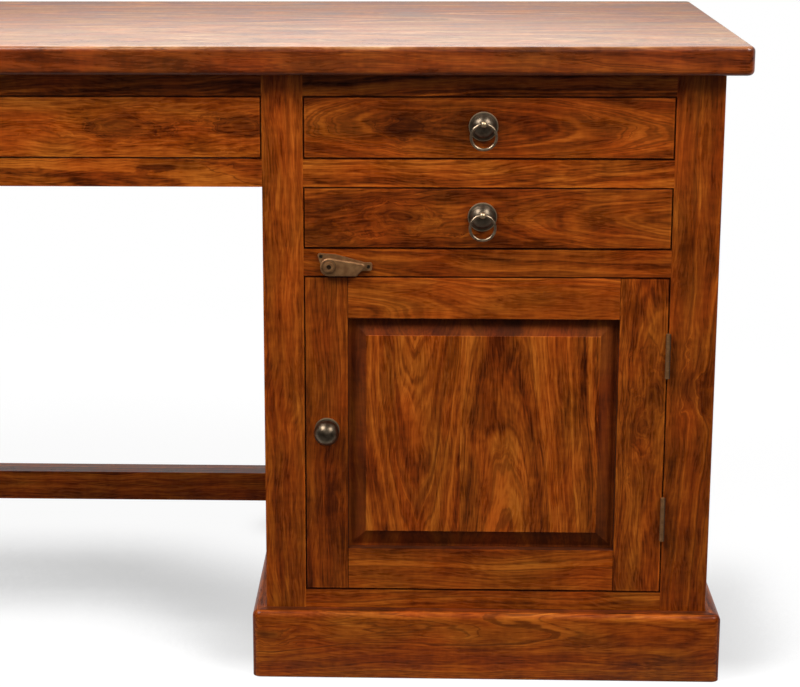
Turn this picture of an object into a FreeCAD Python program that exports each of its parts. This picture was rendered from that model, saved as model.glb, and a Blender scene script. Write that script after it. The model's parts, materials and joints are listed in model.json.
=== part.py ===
import FreeCAD, Part
import os
from types import SimpleNamespace

import Sketcher
from FreeCAD import Placement, Rotation, Vector

# A single-pedestal campaign desk: +Z up, front towards -Y, origin on the floor under the middle of the top.
# Every length is in millimetres and is kept once, here; the document's sheet holds the same values.
DIMENSIONS = {
    # Top board
    "desk_length": 1400,
    "desk_depth": 620,
    "top_thickness": 33.5,
    "top_edge_radius": 6,
    "top_under_radius": 6,
    "top_corner_radius": 10,
    "end_overhang": 29,
    "front_overhang": 21.5,
    "back_overhang": 21.5,
    # Pedestal face, from the plinth upwards
    "pedestal_width": 534,
    "inner_post_width": 48,
    "outer_post_width": 56,
    "post_depth": 45,
    "post_edge_radius": 3,
    "bottom_rail_height": 23.5,
    "door_opening_height": 390,
    "face_rail_height": 33,
    "drawer_opening_height": 73,
    "top_rail_height": 26,
    # Plinth boards
    "plinth_height": 85,
    "plinth_thickness": 17,
    "plinth_edge_radius": 9,
    "plinth_corner_radius": 10,
    # Joinery
    "tenon_length": 15,
    "tenon_shoulder": 7,
    "housing_depth": 6,
    "overrun": 2,
    # Pedestal panels and boards
    "side_panel_thickness": 18,
    "side_panel_setback": 4,
    "back_panel_thickness": 10,
    "back_panel_setback": 6,
    "panel_foot": 30,
    "floor_thickness": 18,
    "ceiling_thickness": 12,
    "shelf_thickness": 16,
    "shelf_rise": 185,
    "shelf_setback": 40,
    # Kneehole and leg frame
    "leg_width": 56,
    "leg_depth": 56,
    "side_rail_thickness": 24,
    "side_rail_setback": 6,
    "back_rail_thickness": 20,
    "stretcher_height": 38.5,
    "stretcher_thickness": 36.5,
    "stretcher_lift": 132.5,
    # Drawer boxes and what they run on
    "drawer_gap": 1.2,
    "drawer_rear_room": 46,
    "drawer_front_thickness": 20,
    "drawer_edge_radius": 1.2,
    "drawer_side_thickness": 12,
    "drawer_side_drop": 3,
    "drawer_back_thickness": 12,
    "drawer_back_inset": 8,
    "drawer_bottom_thickness": 5,
    "drawer_bottom_rise": 9,
    "dovetail_length": 14,
    "dovetail_root": 9,
    "dovetail_tip": 14,
    "runner_width": 20,
    "runner_height": 14,
    "runner_clearance": 0.3,
    "guide_height": 18,
    "stop_height": 6,
    "stop_depth": 16,
    "stop_length": 34,
    "stop_clearance": 0.3,
    "block_section": 22,
    "block_length": 60,
    # Ring pulls
    "pull_side_shift": 6,
    "pull_rise": 2,
    "pull_flange_radius": 17,
    "pull_flange_edge": 1.5,
    "pull_flange_thickness": 2.1,
    "pull_dome_radius": 14.4,
    "pull_dome_height": 12,
    "pull_stud_radius": 2.5,
    "pull_stud_length": 13,
    "stud_clearance": 0.15,
    "eye_rise": 4.5,
    "eye_reach": 17,
    "eye_radius": 3.8,
    "eye_post_radius": 3,
    "eye_clearance": 0.6,
    "ring_radius": 14.6,
    "ring_wire_radius": 1.65,
    # Door
    "door_gap": 1.2,
    "door_thickness": 22,
    "door_latch_stile": 51,
    "door_hinge_stile": 57,
    "door_top_rail": 50,
    "door_bottom_rail": 52,
    "door_edge_radius": 1,
    "panel_tongue_depth": 8,
    "panel_tongue_thickness": 6,
    "panel_tongue_setback": 10,
    "panel_margin": 3,
    "panel_bevel_width": 18,
    "panel_bevel_rise": 6,
    "panel_field_step": 1.5,
    "panel_field_radius": 0.6,
    # Ball knob on the latch stile
    "knob_radius": 15,
    "knob_reach": 30,
    "knob_neck_radius": 6.5,
    "knob_rose_radius": 15,
    "knob_rose_rim": 1.8,
    "knob_rose_thickness": 4,
    "knob_rise": 7,
    "knob_stud_radius": 3,
    "knob_stud_length": 15,
    # Butt hinges
    "hinge_length": 54,
    "hinge_inset": 94,
    "knuckle_radius": 3,
    "knuckle_gap": 0.2,
    "knuckle_relief": 0.3,
    "face_clearance": 0.1,
    "leaf_thickness": 1.2,
    "leaf_depth": 18,
    "leaf_play": 0.1,
    "hinge_pin_radius": 1.2,
    "hinge_pin_clearance": 0.05,
    "hinge_screw_head_radius": 2.8,
    "hinge_screw_shank_radius": 1.6,
    # Turning latch above the door
    "latch_inset": 30,
    "latch_plate_length": 65,
    "latch_plate_height": 27,
    "latch_plate_thickness": 2.5,
    "latch_plate_radius": 2.5,
    "latch_plate_lift": 0.8,
    "latch_tail": 14.5,
    "lever_length": 53,
    "lever_height": 23.5,
    "lever_thickness": 4,
    "lever_clearance": 0.3,
    "lever_end_radius": 10.4,
    "lever_tip_radius": 2.5,
    "lever_edge_radius": 1.8,
    "lever_boss_radius": 7.6,
    "lever_boss_height": 1.2,
    "pivot_radius": 2.2,
    "pivot_clearance": 0.06,
    "pivot_head_radius": 5.4,
    "pivot_head_thickness": 1.6,
    "pivot_dimple_radius": 2.8,
    "pivot_dimple_depth": 1.2,
    "pivot_depth": 8,
    "plate_screw_head_radius": 2.2,
    "plate_screw_shank_radius": 1.2,
}

# Outlines of the latch pieces, as shares of their length and height from the lower left corner.
LEVER_SHARES = ((0, 0), (0.81, 0), (1, 0.52), (0.955, 0.65), (0, 1))
PLATE_SHARES = ((0.13, 0.1), (0.7, 0.1), (0.84, 0.24), (1, 0.24), (1, 0.6), (0.86, 0.6), (0.33, 0.96), (0, 1))
PLATE_SCREW_SHARES = ((0.075, 0.86), (0.935, 0.41))
# Screw places on a hinge leaf, as shares of its length and of its depth.
LEAF_SCREW_SHARES = ((1 / 6, 0.4), (1 / 2, 0.7), (5 / 6, 0.4))
DOVETAIL_SHARES = (1 / 6, 1 / 2, 5 / 6)
PAIR_SHARES = (0.25, 0.75)
KNUCKLE_COUNT = 5
NEAR = 1e-4

doc = FreeCAD.newDocument("campaign_desk")
sheet = doc.addObject("Spreadsheet::Sheet", "sizes")
for row, (name, value) in enumerate(DIMENSIONS.items(), 1):
    sheet.set(f"A{row}", name)
    sheet.set(f"B{row}", str(value))
    sheet.setAlias(f"B{row}", name)
doc.recompute()


class Size:
    """A length taken from the sheet: its value now, and the formula that keeps it tied to the cells."""

    def __init__(self, value, formula):
        self.value = value
        self.formula = formula

    def __add__(self, other):
        other = as_size(other)
        return Size(self.value + other.value, f"({self.formula} + {other.formula})")

    def __sub__(self, other):
        other = as_size(other)
        return Size(self.value - other.value, f"({self.formula} - {other.formula})")

    def __mul__(self, share):
        return Size(self.value * share, f"({self.formula} * {share!r})")

    def __truediv__(self, share):
        return Size(self.value / share, f"({self.formula} / {share!r})")

    def __neg__(self):
        return ZERO - self


def as_size(number):
    return number if isinstance(number, Size) else Size(number, repr(number))


ZERO = Size(0, "0")
size = SimpleNamespace(**{name: Size(value, f"sizes.{name}") for name, value in DIMENSIONS.items()})
nodes = []


def bind(thing, **properties):
    """Tie an object's properties to the sheet."""
    for name, length in properties.items():
        thing.setExpression(name, as_size(length).formula)


def place(thing, x, y, z, rotation=Rotation()):
    thing.Placement = Placement(Vector(0, 0, 0), rotation)
    for axis, length in zip("xyz", (x, y, z)):
        thing.setExpression(f".Placement.Base.{axis}", as_size(length).formula)


def node(label, thing):
    """Mark an object as a finished piece; its label names its file."""
    thing.Label = label
    nodes.append(thing)
    return thing


def group(name, things):
    compound = doc.addObject("Part::Compound", name)
    compound.Links = list(things)
    return compound


def fuse(name, *things):
    feature = doc.addObject("Part::MultiFuse", name)
    feature.Shapes = list(things)
    feature.Refine = True
    return feature


def cut(name, base, *tools):
    feature = doc.addObject("Part::Cut", name)
    feature.Base = base
    feature.Tool = tools[0] if len(tools) == 1 else group(f"{name}_tools", tools)
    feature.Refine = True
    return feature


def board(name, x, y, z):
    """A square-edged board from three spans, each a pair of start and end."""
    box = doc.addObject("Part::Box", name)
    bind(box, Length=x[1] - x[0], Width=y[1] - y[0], Height=z[1] - z[0])
    place(box, x[0], y[0], z[0])
    return box


def rod(name, radius, length, x, y, z, axis=Vector(0, 0, 1)):
    """A round bar that starts at a point and runs along an axis."""
    cylinder = doc.addObject("Part::Cylinder", name)
    bind(cylinder, Radius=radius, Height=length)
    place(cylinder, x, y, z, Rotation(Vector(0, 0, 1), axis))
    return cylinder


def screw_hole(name, head, shank, depth, x, y, z, axis):
    """A countersunk hole from a face inwards, as wide as the screw's head at the face."""
    cone = doc.addObject("Part::Cone", name)
    bind(cone, Radius1=head, Radius2=shank, Height=depth)
    place(cone, x, y, z, Rotation(Vector(0, 0, 1), axis))
    return cone


def wedge(name, y, near_x, far_x, near_z, far_z):
    """A block whose section changes evenly from its near end in Y to its far end."""
    block = doc.addObject("Part::Wedge", name)
    bind(block, Ymin=y[0], Ymax=y[1], Xmin=near_x[0], Xmax=near_x[1], X2min=far_x[0], X2max=far_x[1])
    bind(block, Zmin=near_z[0], Zmax=near_z[1], Z2min=far_z[0], Z2max=far_z[1])
    return block


def body_with_sketch(name):
    body = doc.addObject("PartDesign::Body", name)
    return body, add_sketch(body, f"{name}_sketch")


def add_sketch(body, name, height=ZERO):
    """A sketch on the body's XY plane, lifted by a height."""
    sketch = body.newObject("Sketcher::SketchObject", name)
    plane = next(part for part in body.Origin.OriginFeatures if part.Role == "XY_Plane")
    sketch.AttachmentSupport = (plane, [""])
    sketch.MapMode = "FlatFace"
    sketch.setExpression(".AttachmentOffset.Base.z", height.formula)
    return sketch


def fix_point(sketch, line, end, x=None, y=None):
    """Hold one end of a sketch line at a distance from the sketch's origin."""
    for kind, length in (("DistanceX", x), ("DistanceY", y)):
        if length is None:
            continue
        number = sketch.addConstraint(Sketcher.Constraint(kind, line, end, as_size(length).value))
        sketch.setExpression(f"Constraints[{number}]", as_size(length).formula)


def add_polygon(sketch, corners):
    """Close a polygon through its corners."""
    first = sketch.GeometryCount
    points = [Vector(as_size(x).value, as_size(y).value, 0) for x, y in corners]
    for start, end in zip(points, points[1:] + points[:1]):
        sketch.addGeometry(Part.LineSegment(start, end))
    for index, (x, y) in enumerate(corners):
        following = (index + 1) % len(corners)
        sketch.addConstraint(Sketcher.Constraint("Coincident", first + index, 2, first + following, 1))
        fix_point(sketch, first + index, 1, x, y)


def add_rectangle(sketch, width, height, inset=ZERO):
    low = inset
    right = width - inset
    top = height - inset
    add_polygon(sketch, ((low, low), (right, low), (right, top), (low, top)))


def pad(body, sketch, length):
    feature = body.newObject("PartDesign::Pad", f"{sketch.Name}_pad")
    feature.Profile = sketch
    bind(feature, Length=length)
    body.Tip = feature
    return feature


def round_edges(body, radius, chosen):
    """Round the edges of the body's last feature whose bounds pass the test."""
    doc.recompute()
    base = body.Tip
    edges = [f"Edge{number}" for number, edge in enumerate(base.Shape.Edges, 1) if chosen(edge.BoundBox)]
    feature = body.newObject("PartDesign::Fillet", f"{base.Name}_rounded")
    feature.Base = (base, edges)
    bind(feature, Radius=radius)
    body.Tip = feature


def rounded_board(name, x, y, z, radius, chosen):
    """A board with some edges rounded; the test sees edges measured from the board's low corner."""
    body, sketch = body_with_sketch(name)
    add_rectangle(sketch, x[1] - x[0], y[1] - y[0])
    pad(body, sketch, z[1] - z[0])
    round_edges(body, radius, chosen)
    place(body, x[0], y[0], z[0])
    return body


def on_front(bounds):
    return bounds.YMax < NEAR


def upright(bounds):
    return bounds.XLength < NEAR and bounds.YLength < NEAR


def lengthwise(bounds):
    return bounds.YLength < NEAR and bounds.ZLength < NEAR


def front_upright(bounds):
    return on_front(bounds) and upright(bounds)


def front_lengthwise(bounds):
    return on_front(bounds) and lengthwise(bounds)


def tenoned(name, x, y, z, along):
    """A rail with a shouldered tenon at both ends of the direction it runs in."""
    spans = {"x": x, "y": y, "z": z}
    core = {}
    for axis, (start, end) in spans.items():
        core[axis] = (start + size.tenon_shoulder, end - size.tenon_shoulder)
    core[along] = (spans[along][0] - size.tenon_length, spans[along][1] + size.tenon_length)
    return fuse(name, board(f"{name}_shoulders", **spans), board(f"{name}_tenons", **core))


# Main planes, from the middle of the top outwards and from the floor up.
half_length = size.desk_length / 2
right_face = half_length - size.end_overhang
left_face = right_face - size.pedestal_width
leg_face = -right_face
leg_inside = leg_face + size.leg_width
opening_left = left_face + size.inner_post_width
opening_right = right_face - size.outer_post_width
front_face = size.front_overhang - size.desk_depth / 2
back_face = size.desk_depth / 2 - size.back_overhang
post_back = front_face + size.post_depth
rear_post_front = back_face - size.post_depth
leg_back = front_face + size.leg_depth
rear_leg_front = back_face - size.leg_depth
middle_depth = (front_face + back_face) / 2

door_sill = size.plinth_height + size.bottom_rail_height
door_head = door_sill + size.door_opening_height
lower_sill = door_head + size.face_rail_height
lower_head = lower_sill + size.drawer_opening_height
upper_sill = lower_head + size.face_rail_height
upper_head = upper_sill + size.drawer_opening_height
top_underside = upper_head + size.top_rail_height
desk_height = top_underside + size.top_thickness

face_depth = (front_face, post_back)
left_panel_span = (
    left_face + size.side_panel_setback,
    left_face + size.side_panel_setback + size.side_panel_thickness,
)
right_panel_span = (
    right_face - size.side_panel_setback - size.side_panel_thickness,
    right_face - size.side_panel_setback,
)
back_panel_span = (
    back_face - size.back_panel_setback - size.back_panel_thickness,
    back_face - size.back_panel_setback,
)
side_rail_span = (
    leg_face + size.side_rail_setback,
    leg_face + size.side_rail_setback + size.side_rail_thickness,
)
back_rail_span = (
    back_face - size.side_rail_setback - size.back_rail_thickness,
    back_face - size.side_rail_setback,
)
stretcher_level = (size.stretcher_lift, size.stretcher_lift + size.stretcher_height)


def make_top():
    """The top board: corners rounded in plan, then its upper and lower edges."""
    body, sketch = body_with_sketch("top_board")
    add_rectangle(sketch, size.desk_length, size.desk_depth)
    pad(body, sketch, size.top_thickness)
    round_edges(body, size.top_corner_radius, upright)
    round_edges(body, size.top_edge_radius, lambda bounds: bounds.ZMin > size.top_thickness.value - NEAR)
    round_edges(body, size.top_under_radius, lambda bounds: bounds.ZMax < NEAR)
    place(body, -half_length, -(size.desk_depth / 2), top_underside)
    node("desk_top", body)


def make_rails(pivot_bore):
    """The rails of the pedestal face, the kneehole and the leg frame, with their tenons."""
    opening = (opening_left, opening_right)
    kneehole = (leg_inside, left_face)
    between_legs = (leg_back, rear_leg_front)
    apron = (lower_head, top_underside)
    half_stretcher = size.stretcher_thickness / 2
    leg_middle = leg_face + size.leg_width / 2
    low_rail_span = (leg_middle - half_stretcher, leg_middle + half_stretcher)
    stretcher_run = (low_rail_span[1], left_panel_span[0])
    stretcher_depth = (middle_depth - half_stretcher, middle_depth + half_stretcher)
    rails = {
        "pedestal_bottom_rail": (opening, face_depth, (size.plinth_height, door_sill), "x"),
        "pedestal_latch_rail": (opening, face_depth, (door_head, lower_sill), "x"),
        "pedestal_drawer_rail": (opening, face_depth, (lower_head, upper_sill), "x"),
        "pedestal_top_rail": (opening, face_depth, (upper_head, top_underside), "x"),
        "kneehole_lower_rail": (kneehole, face_depth, (lower_head, upper_sill), "x"),
        "kneehole_top_rail": (kneehole, face_depth, (upper_head, top_underside), "x"),
        "kneehole_back_rail": (kneehole, back_rail_span, apron, "x"),
        "leg_upper_rail": (side_rail_span, between_legs, apron, "y"),
        "leg_lower_rail": (low_rail_span, between_legs, stretcher_level, "y"),
        "stretcher": (stretcher_run, stretcher_depth, stretcher_level, "x"),
    }
    made = {name: tenoned(f"{name}_stock", *spans) for name, spans in rails.items()}
    made["leg_lower_rail"] = cut("leg_lower_rail_mortised", made["leg_lower_rail"], made["stretcher"])
    made["pedestal_latch_rail"] = cut("latch_rail_bored", made["pedestal_latch_rail"], pivot_bore)
    for name, rail in made.items():
        node(name, rail)
    return made


def make_panels(rails):
    """The pedestal's side and back panels, which run into grooves in the posts."""
    height = (size.panel_foot, top_underside)
    groove = size.housing_depth
    depth = (post_back - groove, rear_post_front + groove)
    width = (left_face + size.inner_post_width - groove, right_face - size.outer_post_width + groove)
    panels = {
        "left": board("left_panel_stock", left_panel_span, depth, height),
        "right": board("right_panel_stock", right_panel_span, depth, height),
        "back": board("back_panel_stock", width, back_panel_span, height),
    }
    shelf = make_shelf()
    node("pedestal_left_panel", cut("left_panel", panels["left"], rails["stretcher"], shelf))
    node("pedestal_right_panel", cut("right_panel", panels["right"], shelf))
    node("pedestal_back_panel", panels["back"])
    return panels


def make_shelf():
    """The cupboard's shelf, housed in both side panels."""
    bottom = door_sill + size.shelf_rise
    shelf = board(
        "shelf_board",
        (left_panel_span[1] - size.housing_depth, right_panel_span[0] + size.housing_depth),
        (post_back + size.shelf_setback, rear_post_front),
        (bottom, bottom + size.shelf_thickness),
    )
    return node("cupboard_shelf", shelf)


def make_posts(rails, panels, hinge_recesses):
    """Posts and legs, with the mortises, grooves and hinge recesses that their neighbours fill."""
    height = (ZERO, top_underside)
    rear_depth = (rear_post_front, back_face)
    inner = (left_face, opening_left)
    outer = (opening_right, right_face)
    leg = (leg_face, leg_inside)
    front_leg_depth = (front_face, leg_back)
    rear_leg_depth = (rear_leg_front, back_face)
    face_rails = [rails[f"pedestal_{name}_rail"] for name in ("bottom", "latch", "drawer", "top")]
    apron_rails = [rails["kneehole_lower_rail"], rails["kneehole_top_rail"]]
    side_rails = [rails["leg_upper_rail"], rails["leg_lower_rail"]]

    def outer_corner(bounds):
        return front_upright(bounds) and bounds.XMin > NEAR

    outer_stock = rounded_board("outer_post", outer, face_depth, height, size.post_edge_radius, outer_corner)
    posts = {
        "pedestal_inner_post": (
            board("inner_post", inner, face_depth, height),
            face_rails + apron_rails + [panels["left"]],
        ),
        "pedestal_outer_post": (outer_stock, face_rails + [panels["right"]] + hinge_recesses),
        "leg_front": (
            rounded_board("front_leg", leg, front_leg_depth, height, size.post_edge_radius, upright),
            apron_rails + side_rails,
        ),
        "leg_rear": (
            rounded_board("rear_leg", leg, rear_leg_depth, height, size.post_edge_radius, upright),
            [rails["kneehole_back_rail"]] + side_rails,
        ),
    }
    for name, (stock, tools) in posts.items():
        node(name, cut(f"{name}_mortised", stock, *tools))
    rear_inner = cut(
        "rear_inner_mortised",
        board("rear_inner_post", inner, rear_depth, height),
        panels["left"],
        panels["back"],
        rails["kneehole_back_rail"],
    )
    rear_outer = cut(
        "rear_outer_mortised",
        board("rear_outer_post", outer, rear_depth, height),
        panels["right"],
        panels["back"],
    )
    node("pedestal_rear_posts", group("rear_posts", [rear_inner, rear_outer]))
    return rear_inner, rear_outer


def make_cupboard_boards(rear_posts):
    """The cupboard's floor and its ceiling under the lower drawer, notched round the rear posts."""
    width = (left_panel_span[1], right_panel_span[0])
    depth = (post_back, back_panel_span[0])
    ceiling_top = runner_top(lower_sill) - size.runner_height
    floor = board("floor_board", width, depth, (door_sill - size.floor_thickness, door_sill))
    ceiling = board("ceiling_board", width, depth, (ceiling_top - size.ceiling_thickness, ceiling_top))
    node("cupboard_floor", cut("floor_notched", floor, *rear_posts))
    node("cupboard_ceiling", cut("ceiling_notched", ceiling, *rear_posts))


def make_plinth():
    """Four boards mitred round the pedestal's foot, cut from one rounded ring."""
    thickness = size.plinth_thickness
    width = size.pedestal_width + thickness * 2
    depth = back_face - front_face + thickness * 2
    body, sketch = body_with_sketch("plinth_ring")
    add_rectangle(sketch, width, depth)
    add_rectangle(sketch, width, depth, thickness)
    pad(body, sketch, size.plinth_height)

    def outside(bounds):
        return bounds.XMin < NEAR or bounds.YMin < NEAR or is_far(bounds)

    def is_far(bounds):
        return bounds.XMax > width.value - NEAR or bounds.YMax > depth.value - NEAR

    round_edges(body, size.plinth_corner_radius, lambda bounds: upright(bounds) and outside(bounds))
    top_level = size.plinth_height.value - NEAR
    round_edges(body, size.plinth_edge_radius, lambda bounds: bounds.ZMin > top_level and outside(bounds))
    place(body, left_face - thickness, front_face - thickness, ZERO)

    level = (-size.overrun, size.plinth_height + size.overrun)
    reach = thickness + size.overrun
    wide = (left_face - reach, right_face + reach)
    narrow = (left_face + size.overrun, right_face - size.overrun)
    front_depth = (front_face - reach, front_face + size.overrun)
    back_depth = (back_face - size.overrun, back_face + reach)
    mitres = {
        "plinth_front": wedge("front_mitre", front_depth, wide, narrow, level, level),
        "plinth_back": wedge("back_mitre", back_depth, narrow, wide, level, level),
    }
    for name, mitre in mitres.items():
        node(name, common(f"{name}_board", body, mitre))
    node("plinth_sides", cut("plinth_side_boards", body, *mitres.values()))


def common(name, base, tool):
    feature = doc.addObject("Part::Common", name)
    feature.Base = base
    feature.Tool = tool
    return feature


def runner_top(sill):
    return sill + size.drawer_gap - size.runner_clearance


def make_runners():
    """Runners under each drawer's sides, with a guide on top of each where the post stands out."""
    depth = (post_back, rear_post_front)
    leg_depth = (leg_back, rear_leg_front)
    pedestal = []
    for name, sill in (("lower", lower_sill), ("upper", upper_sill)):
        top = runner_top(sill)
        level = (top - size.runner_height, top)
        beside = (top, top + size.guide_height)
        left = (left_panel_span[1], opening_left + size.runner_width)
        right = (opening_right - size.runner_width, right_panel_span[0])
        pedestal += [
            board(f"{name}_left_runner", left, depth, level),
            board(f"{name}_right_runner", right, depth, level),
            board(f"{name}_left_guide", (left_panel_span[1], opening_left), depth, beside),
            board(f"{name}_right_guide", (opening_right, right_panel_span[0]), depth, beside),
        ]
    node("pedestal_runners", group("pedestal_runner_set", pedestal))
    top = runner_top(upper_sill)
    level = (top - size.runner_height, top)
    beside = (top, top + size.guide_height)
    kneehole = [
        board("centre_left_runner", (side_rail_span[1], leg_inside + size.runner_width), leg_depth, level),
        board("centre_left_guide", (side_rail_span[1], leg_inside), leg_depth, beside),
        board("centre_right_runner", (left_face - size.runner_width, left_panel_span[0]), depth, level),
    ]
    node("kneehole_runners", group("kneehole_runner_set", kneehole))


def make_stops():
    """Blocks on the rails that stop each drawer flush, and one under the latch rail for the door."""
    start = front_face + size.drawer_front_thickness + size.stop_clearance
    depth = (start, start + size.stop_depth)
    half_stop = size.stop_length / 2
    blocks = []
    for name, left, right, sill, _ in drawer_openings():
        for place_number, share in enumerate(PAIR_SHARES, 1):
            middle = left + (right - left) * share
            span = (middle - half_stop, middle + half_stop)
            blocks.append(board(f"{name}_stop_{place_number}", span, depth, (sill, sill + size.stop_height)))
    behind_door = front_face + size.door_thickness + size.stop_clearance
    blocks.append(
        board(
            "door_stop",
            (opening_left + size.stop_length, opening_left + size.stop_length * 2),
            (behind_door, behind_door + size.stop_depth),
            (door_head - size.stop_height * 2, door_head),
        )
    )
    node("stop_blocks", group("stop_block_set", blocks))


def drawer_openings():
    """Each drawer's name, its opening's sides and sill, and how far its pull sits left of the middle."""
    return (
        ("upper", opening_left, opening_right, upper_sill, size.pull_side_shift),
        ("lower", opening_left, opening_right, lower_sill, size.pull_side_shift),
        ("centre", leg_inside, left_face, upper_sill, ZERO),
    )


def make_blocks():
    """Glue blocks that hold the top to the rails and side panels."""
    level = (top_underside - size.block_section, top_underside)
    half_block = size.block_length / 2
    blocks = []
    for number, share in enumerate(PAIR_SHARES, 1):
        along = leg_inside + (left_face - leg_inside) * share
        across = post_back + (rear_post_front - post_back) * share
        run_x = (along - half_block, along + half_block)
        run_y = (across - half_block, across + half_block)
        behind_rail = (post_back, post_back + size.block_section)
        before_rail = (back_rail_span[0] - size.block_section, back_rail_span[0])
        beside_leg = (side_rail_span[1], side_rail_span[1] + size.block_section)
        beside_left = (left_panel_span[1], left_panel_span[1] + size.block_section)
        beside_right = (right_panel_span[0] - size.block_section, right_panel_span[0])
        blocks += [
            board(f"front_block_{number}", run_x, behind_rail, level),
            board(f"back_block_{number}", run_x, before_rail, level),
            board(f"leg_block_{number}", beside_leg, run_y, level),
            board(f"left_block_{number}", beside_left, run_y, level),
            board(f"right_block_{number}", beside_right, run_y, level),
        ]
    node("top_fixing_blocks", group("fixing_block_set", blocks))


def make_drawer(name, left, right, sill, pull_shift):
    """One drawer: half-blind dovetails at the front, a housed back and a bottom in grooves."""
    gap = size.drawer_gap
    start = left + gap
    end = right - gap
    low = sill + gap
    high = sill + size.drawer_opening_height - gap
    side_top = high - size.drawer_side_drop
    front_back = front_face + size.drawer_front_thickness
    rear_end = back_rail_span[0] - size.drawer_rear_room
    inside = (start + size.drawer_side_thickness, end - size.drawer_side_thickness)
    housed = (inside[0] - size.housing_depth, inside[1] + size.housing_depth)
    back_start = rear_end - size.drawer_back_inset - size.drawer_back_thickness
    bottom_low = low + size.drawer_bottom_rise
    bottom_high = bottom_low + size.drawer_bottom_thickness
    back_end = rear_end - size.drawer_back_inset
    bottom = board(
        f"{name}_bottom_board",
        housed,
        (front_back - size.housing_depth, back_end),
        (bottom_low, bottom_high),
    )
    back = board(f"{name}_back_board", housed, (back_start, back_end), (bottom_high, side_top))
    sides = []
    tails = []
    for hand, span in (("left", (start, inside[0])), ("right", (inside[1], end))):
        stock = board(f"{name}_{hand}_stock", span, (front_back, rear_end), (low, side_top))
        own_tails = [
            dovetail(f"{name}_{hand}_tail_{number}", span, front_back, low + (side_top - low) * share)
            for number, share in enumerate(DOVETAIL_SHARES, 1)
        ]
        whole = fuse(f"{name}_{hand}_tailed", stock, *own_tails)
        sides.append(cut(f"{name}_{hand}_side", whole, bottom, back))
        tails += own_tails
    middle = (left + right) / 2 - pull_shift
    pull_level = sill + size.drawer_opening_height / 2 + size.pull_rise
    boss, stud_hole = make_pull(name, middle, pull_level)
    face = rounded_board(
        f"{name}_front_stock",
        (start, end),
        (front_face, front_back),
        (low, high),
        size.drawer_edge_radius,
        on_front,
    )
    node(f"{name}_drawer_front", cut(f"{name}_front_socketed", face, bottom, stud_hole, *tails))
    node(f"{name}_drawer_sides", group(f"{name}_side_pair", sides))
    node(f"{name}_drawer_back", back)
    node(f"{name}_drawer_bottom", bottom)
    node(f"{name}_pull_boss", boss)


def dovetail(name, across, root, middle):
    """One tail of a drawer side: narrow where it leaves the side, wide at its tip inside the front."""
    tip = (middle - size.dovetail_tip / 2, middle + size.dovetail_tip / 2)
    neck = (middle - size.dovetail_root / 2, middle + size.dovetail_root / 2)
    return wedge(name, (root - size.dovetail_length, root), across, across, tip, neck)


def make_pull(name, x, z):
    """A domed boss with an eye for the ring, a stud into the drawer front, and the ring itself."""
    towards_front = Vector(0, -1, 0)
    eye_y = front_face - size.eye_reach
    eye_z = z + size.eye_rise
    dome = turned(f"{name}_dome", dome_profile)
    place(dome, x, front_face, z, Rotation(Vector(0, 0, 1), 180))
    post = rod(f"{name}_eye_post", size.eye_post_radius, size.eye_reach, x, front_face, eye_z, towards_front)
    eye = doc.addObject("Part::Sphere", f"{name}_eye")
    bind(eye, Radius=size.eye_radius)
    place(eye, x, eye_y, eye_z)
    stud = rod(f"{name}_stud", size.pull_stud_radius, size.pull_stud_length, x, front_face, z, -towards_front)
    hole = rod(
        f"{name}_eye_hole",
        size.ring_wire_radius + size.eye_clearance,
        size.eye_radius * 2,
        x - size.eye_radius,
        eye_y,
        eye_z,
        Vector(1, 0, 0),
    )
    boss = cut(f"{name}_boss", fuse(f"{name}_boss_solid", dome, post, eye, stud), hole)
    stud_hole = rod(
        f"{name}_stud_hole",
        size.pull_stud_radius + size.stud_clearance,
        size.pull_stud_length + size.stud_clearance + size.overrun,
        x,
        front_face - size.overrun,
        z,
        -towards_front,
    )
    ring = doc.addObject("Part::Torus", f"{name}_ring")
    bind(ring, Radius1=size.ring_radius, Radius2=size.ring_wire_radius)
    place(ring, x, eye_y, eye_z - size.ring_radius, Rotation(Vector(1, 0, 0), 90))
    node(f"{name}_pull_ring", ring)
    return boss, stud_hole


def turned(name, profile):
    """A piece turned about the sketch's upright axis."""
    body, sketch = body_with_sketch(name)
    profile(sketch)
    feature = body.newObject("PartDesign::Revolution", f"{name}_turned")
    feature.Profile = sketch
    feature.ReferenceAxis = (sketch, ["V_Axis"])
    feature.Angle = 360
    body.Tip = feature
    return body


def dome_profile(sketch):
    """A dome on a flange: straight runs round the flange, an arc up to the axis, and the axis back."""
    dome_foot = (size.pull_dome_radius, size.pull_flange_thickness)
    apex = (ZERO, size.pull_dome_height)
    corners = (
        (ZERO, ZERO),
        (size.pull_flange_radius, ZERO),
        (size.pull_flange_radius, size.pull_flange_edge),
        dome_foot,
        apex,
    )
    points = [Vector(as_size(x).value, as_size(y).value, 0) for x, y in corners]
    rise = (apex[1] - dome_foot[1]).value
    crown = (dome_foot[0].value ** 2 + rise**2) / (2 * rise)
    circle = Part.Circle(Vector(0, apex[1].value - crown, 0), Vector(0, 0, 1), crown)
    arc_run = corners.index(dome_foot)
    for run, (start, end) in enumerate(zip(points, points[1:] + points[:1])):
        if run == arc_run:
            sketch.addGeometry(Part.ArcOfCircle(circle, circle.parameter(start), circle.parameter(end)))
        else:
            sketch.addGeometry(Part.LineSegment(start, end))
    for run, (x, y) in enumerate(corners):
        following = (run + 1) % len(corners)
        sketch.addConstraint(Sketcher.Constraint("Coincident", run, 2, following, 1))
        fix_point(sketch, run, 1, x, y)
    sketch.addConstraint(Sketcher.Constraint("PointOnObject", arc_run, 3, -2))


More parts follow.
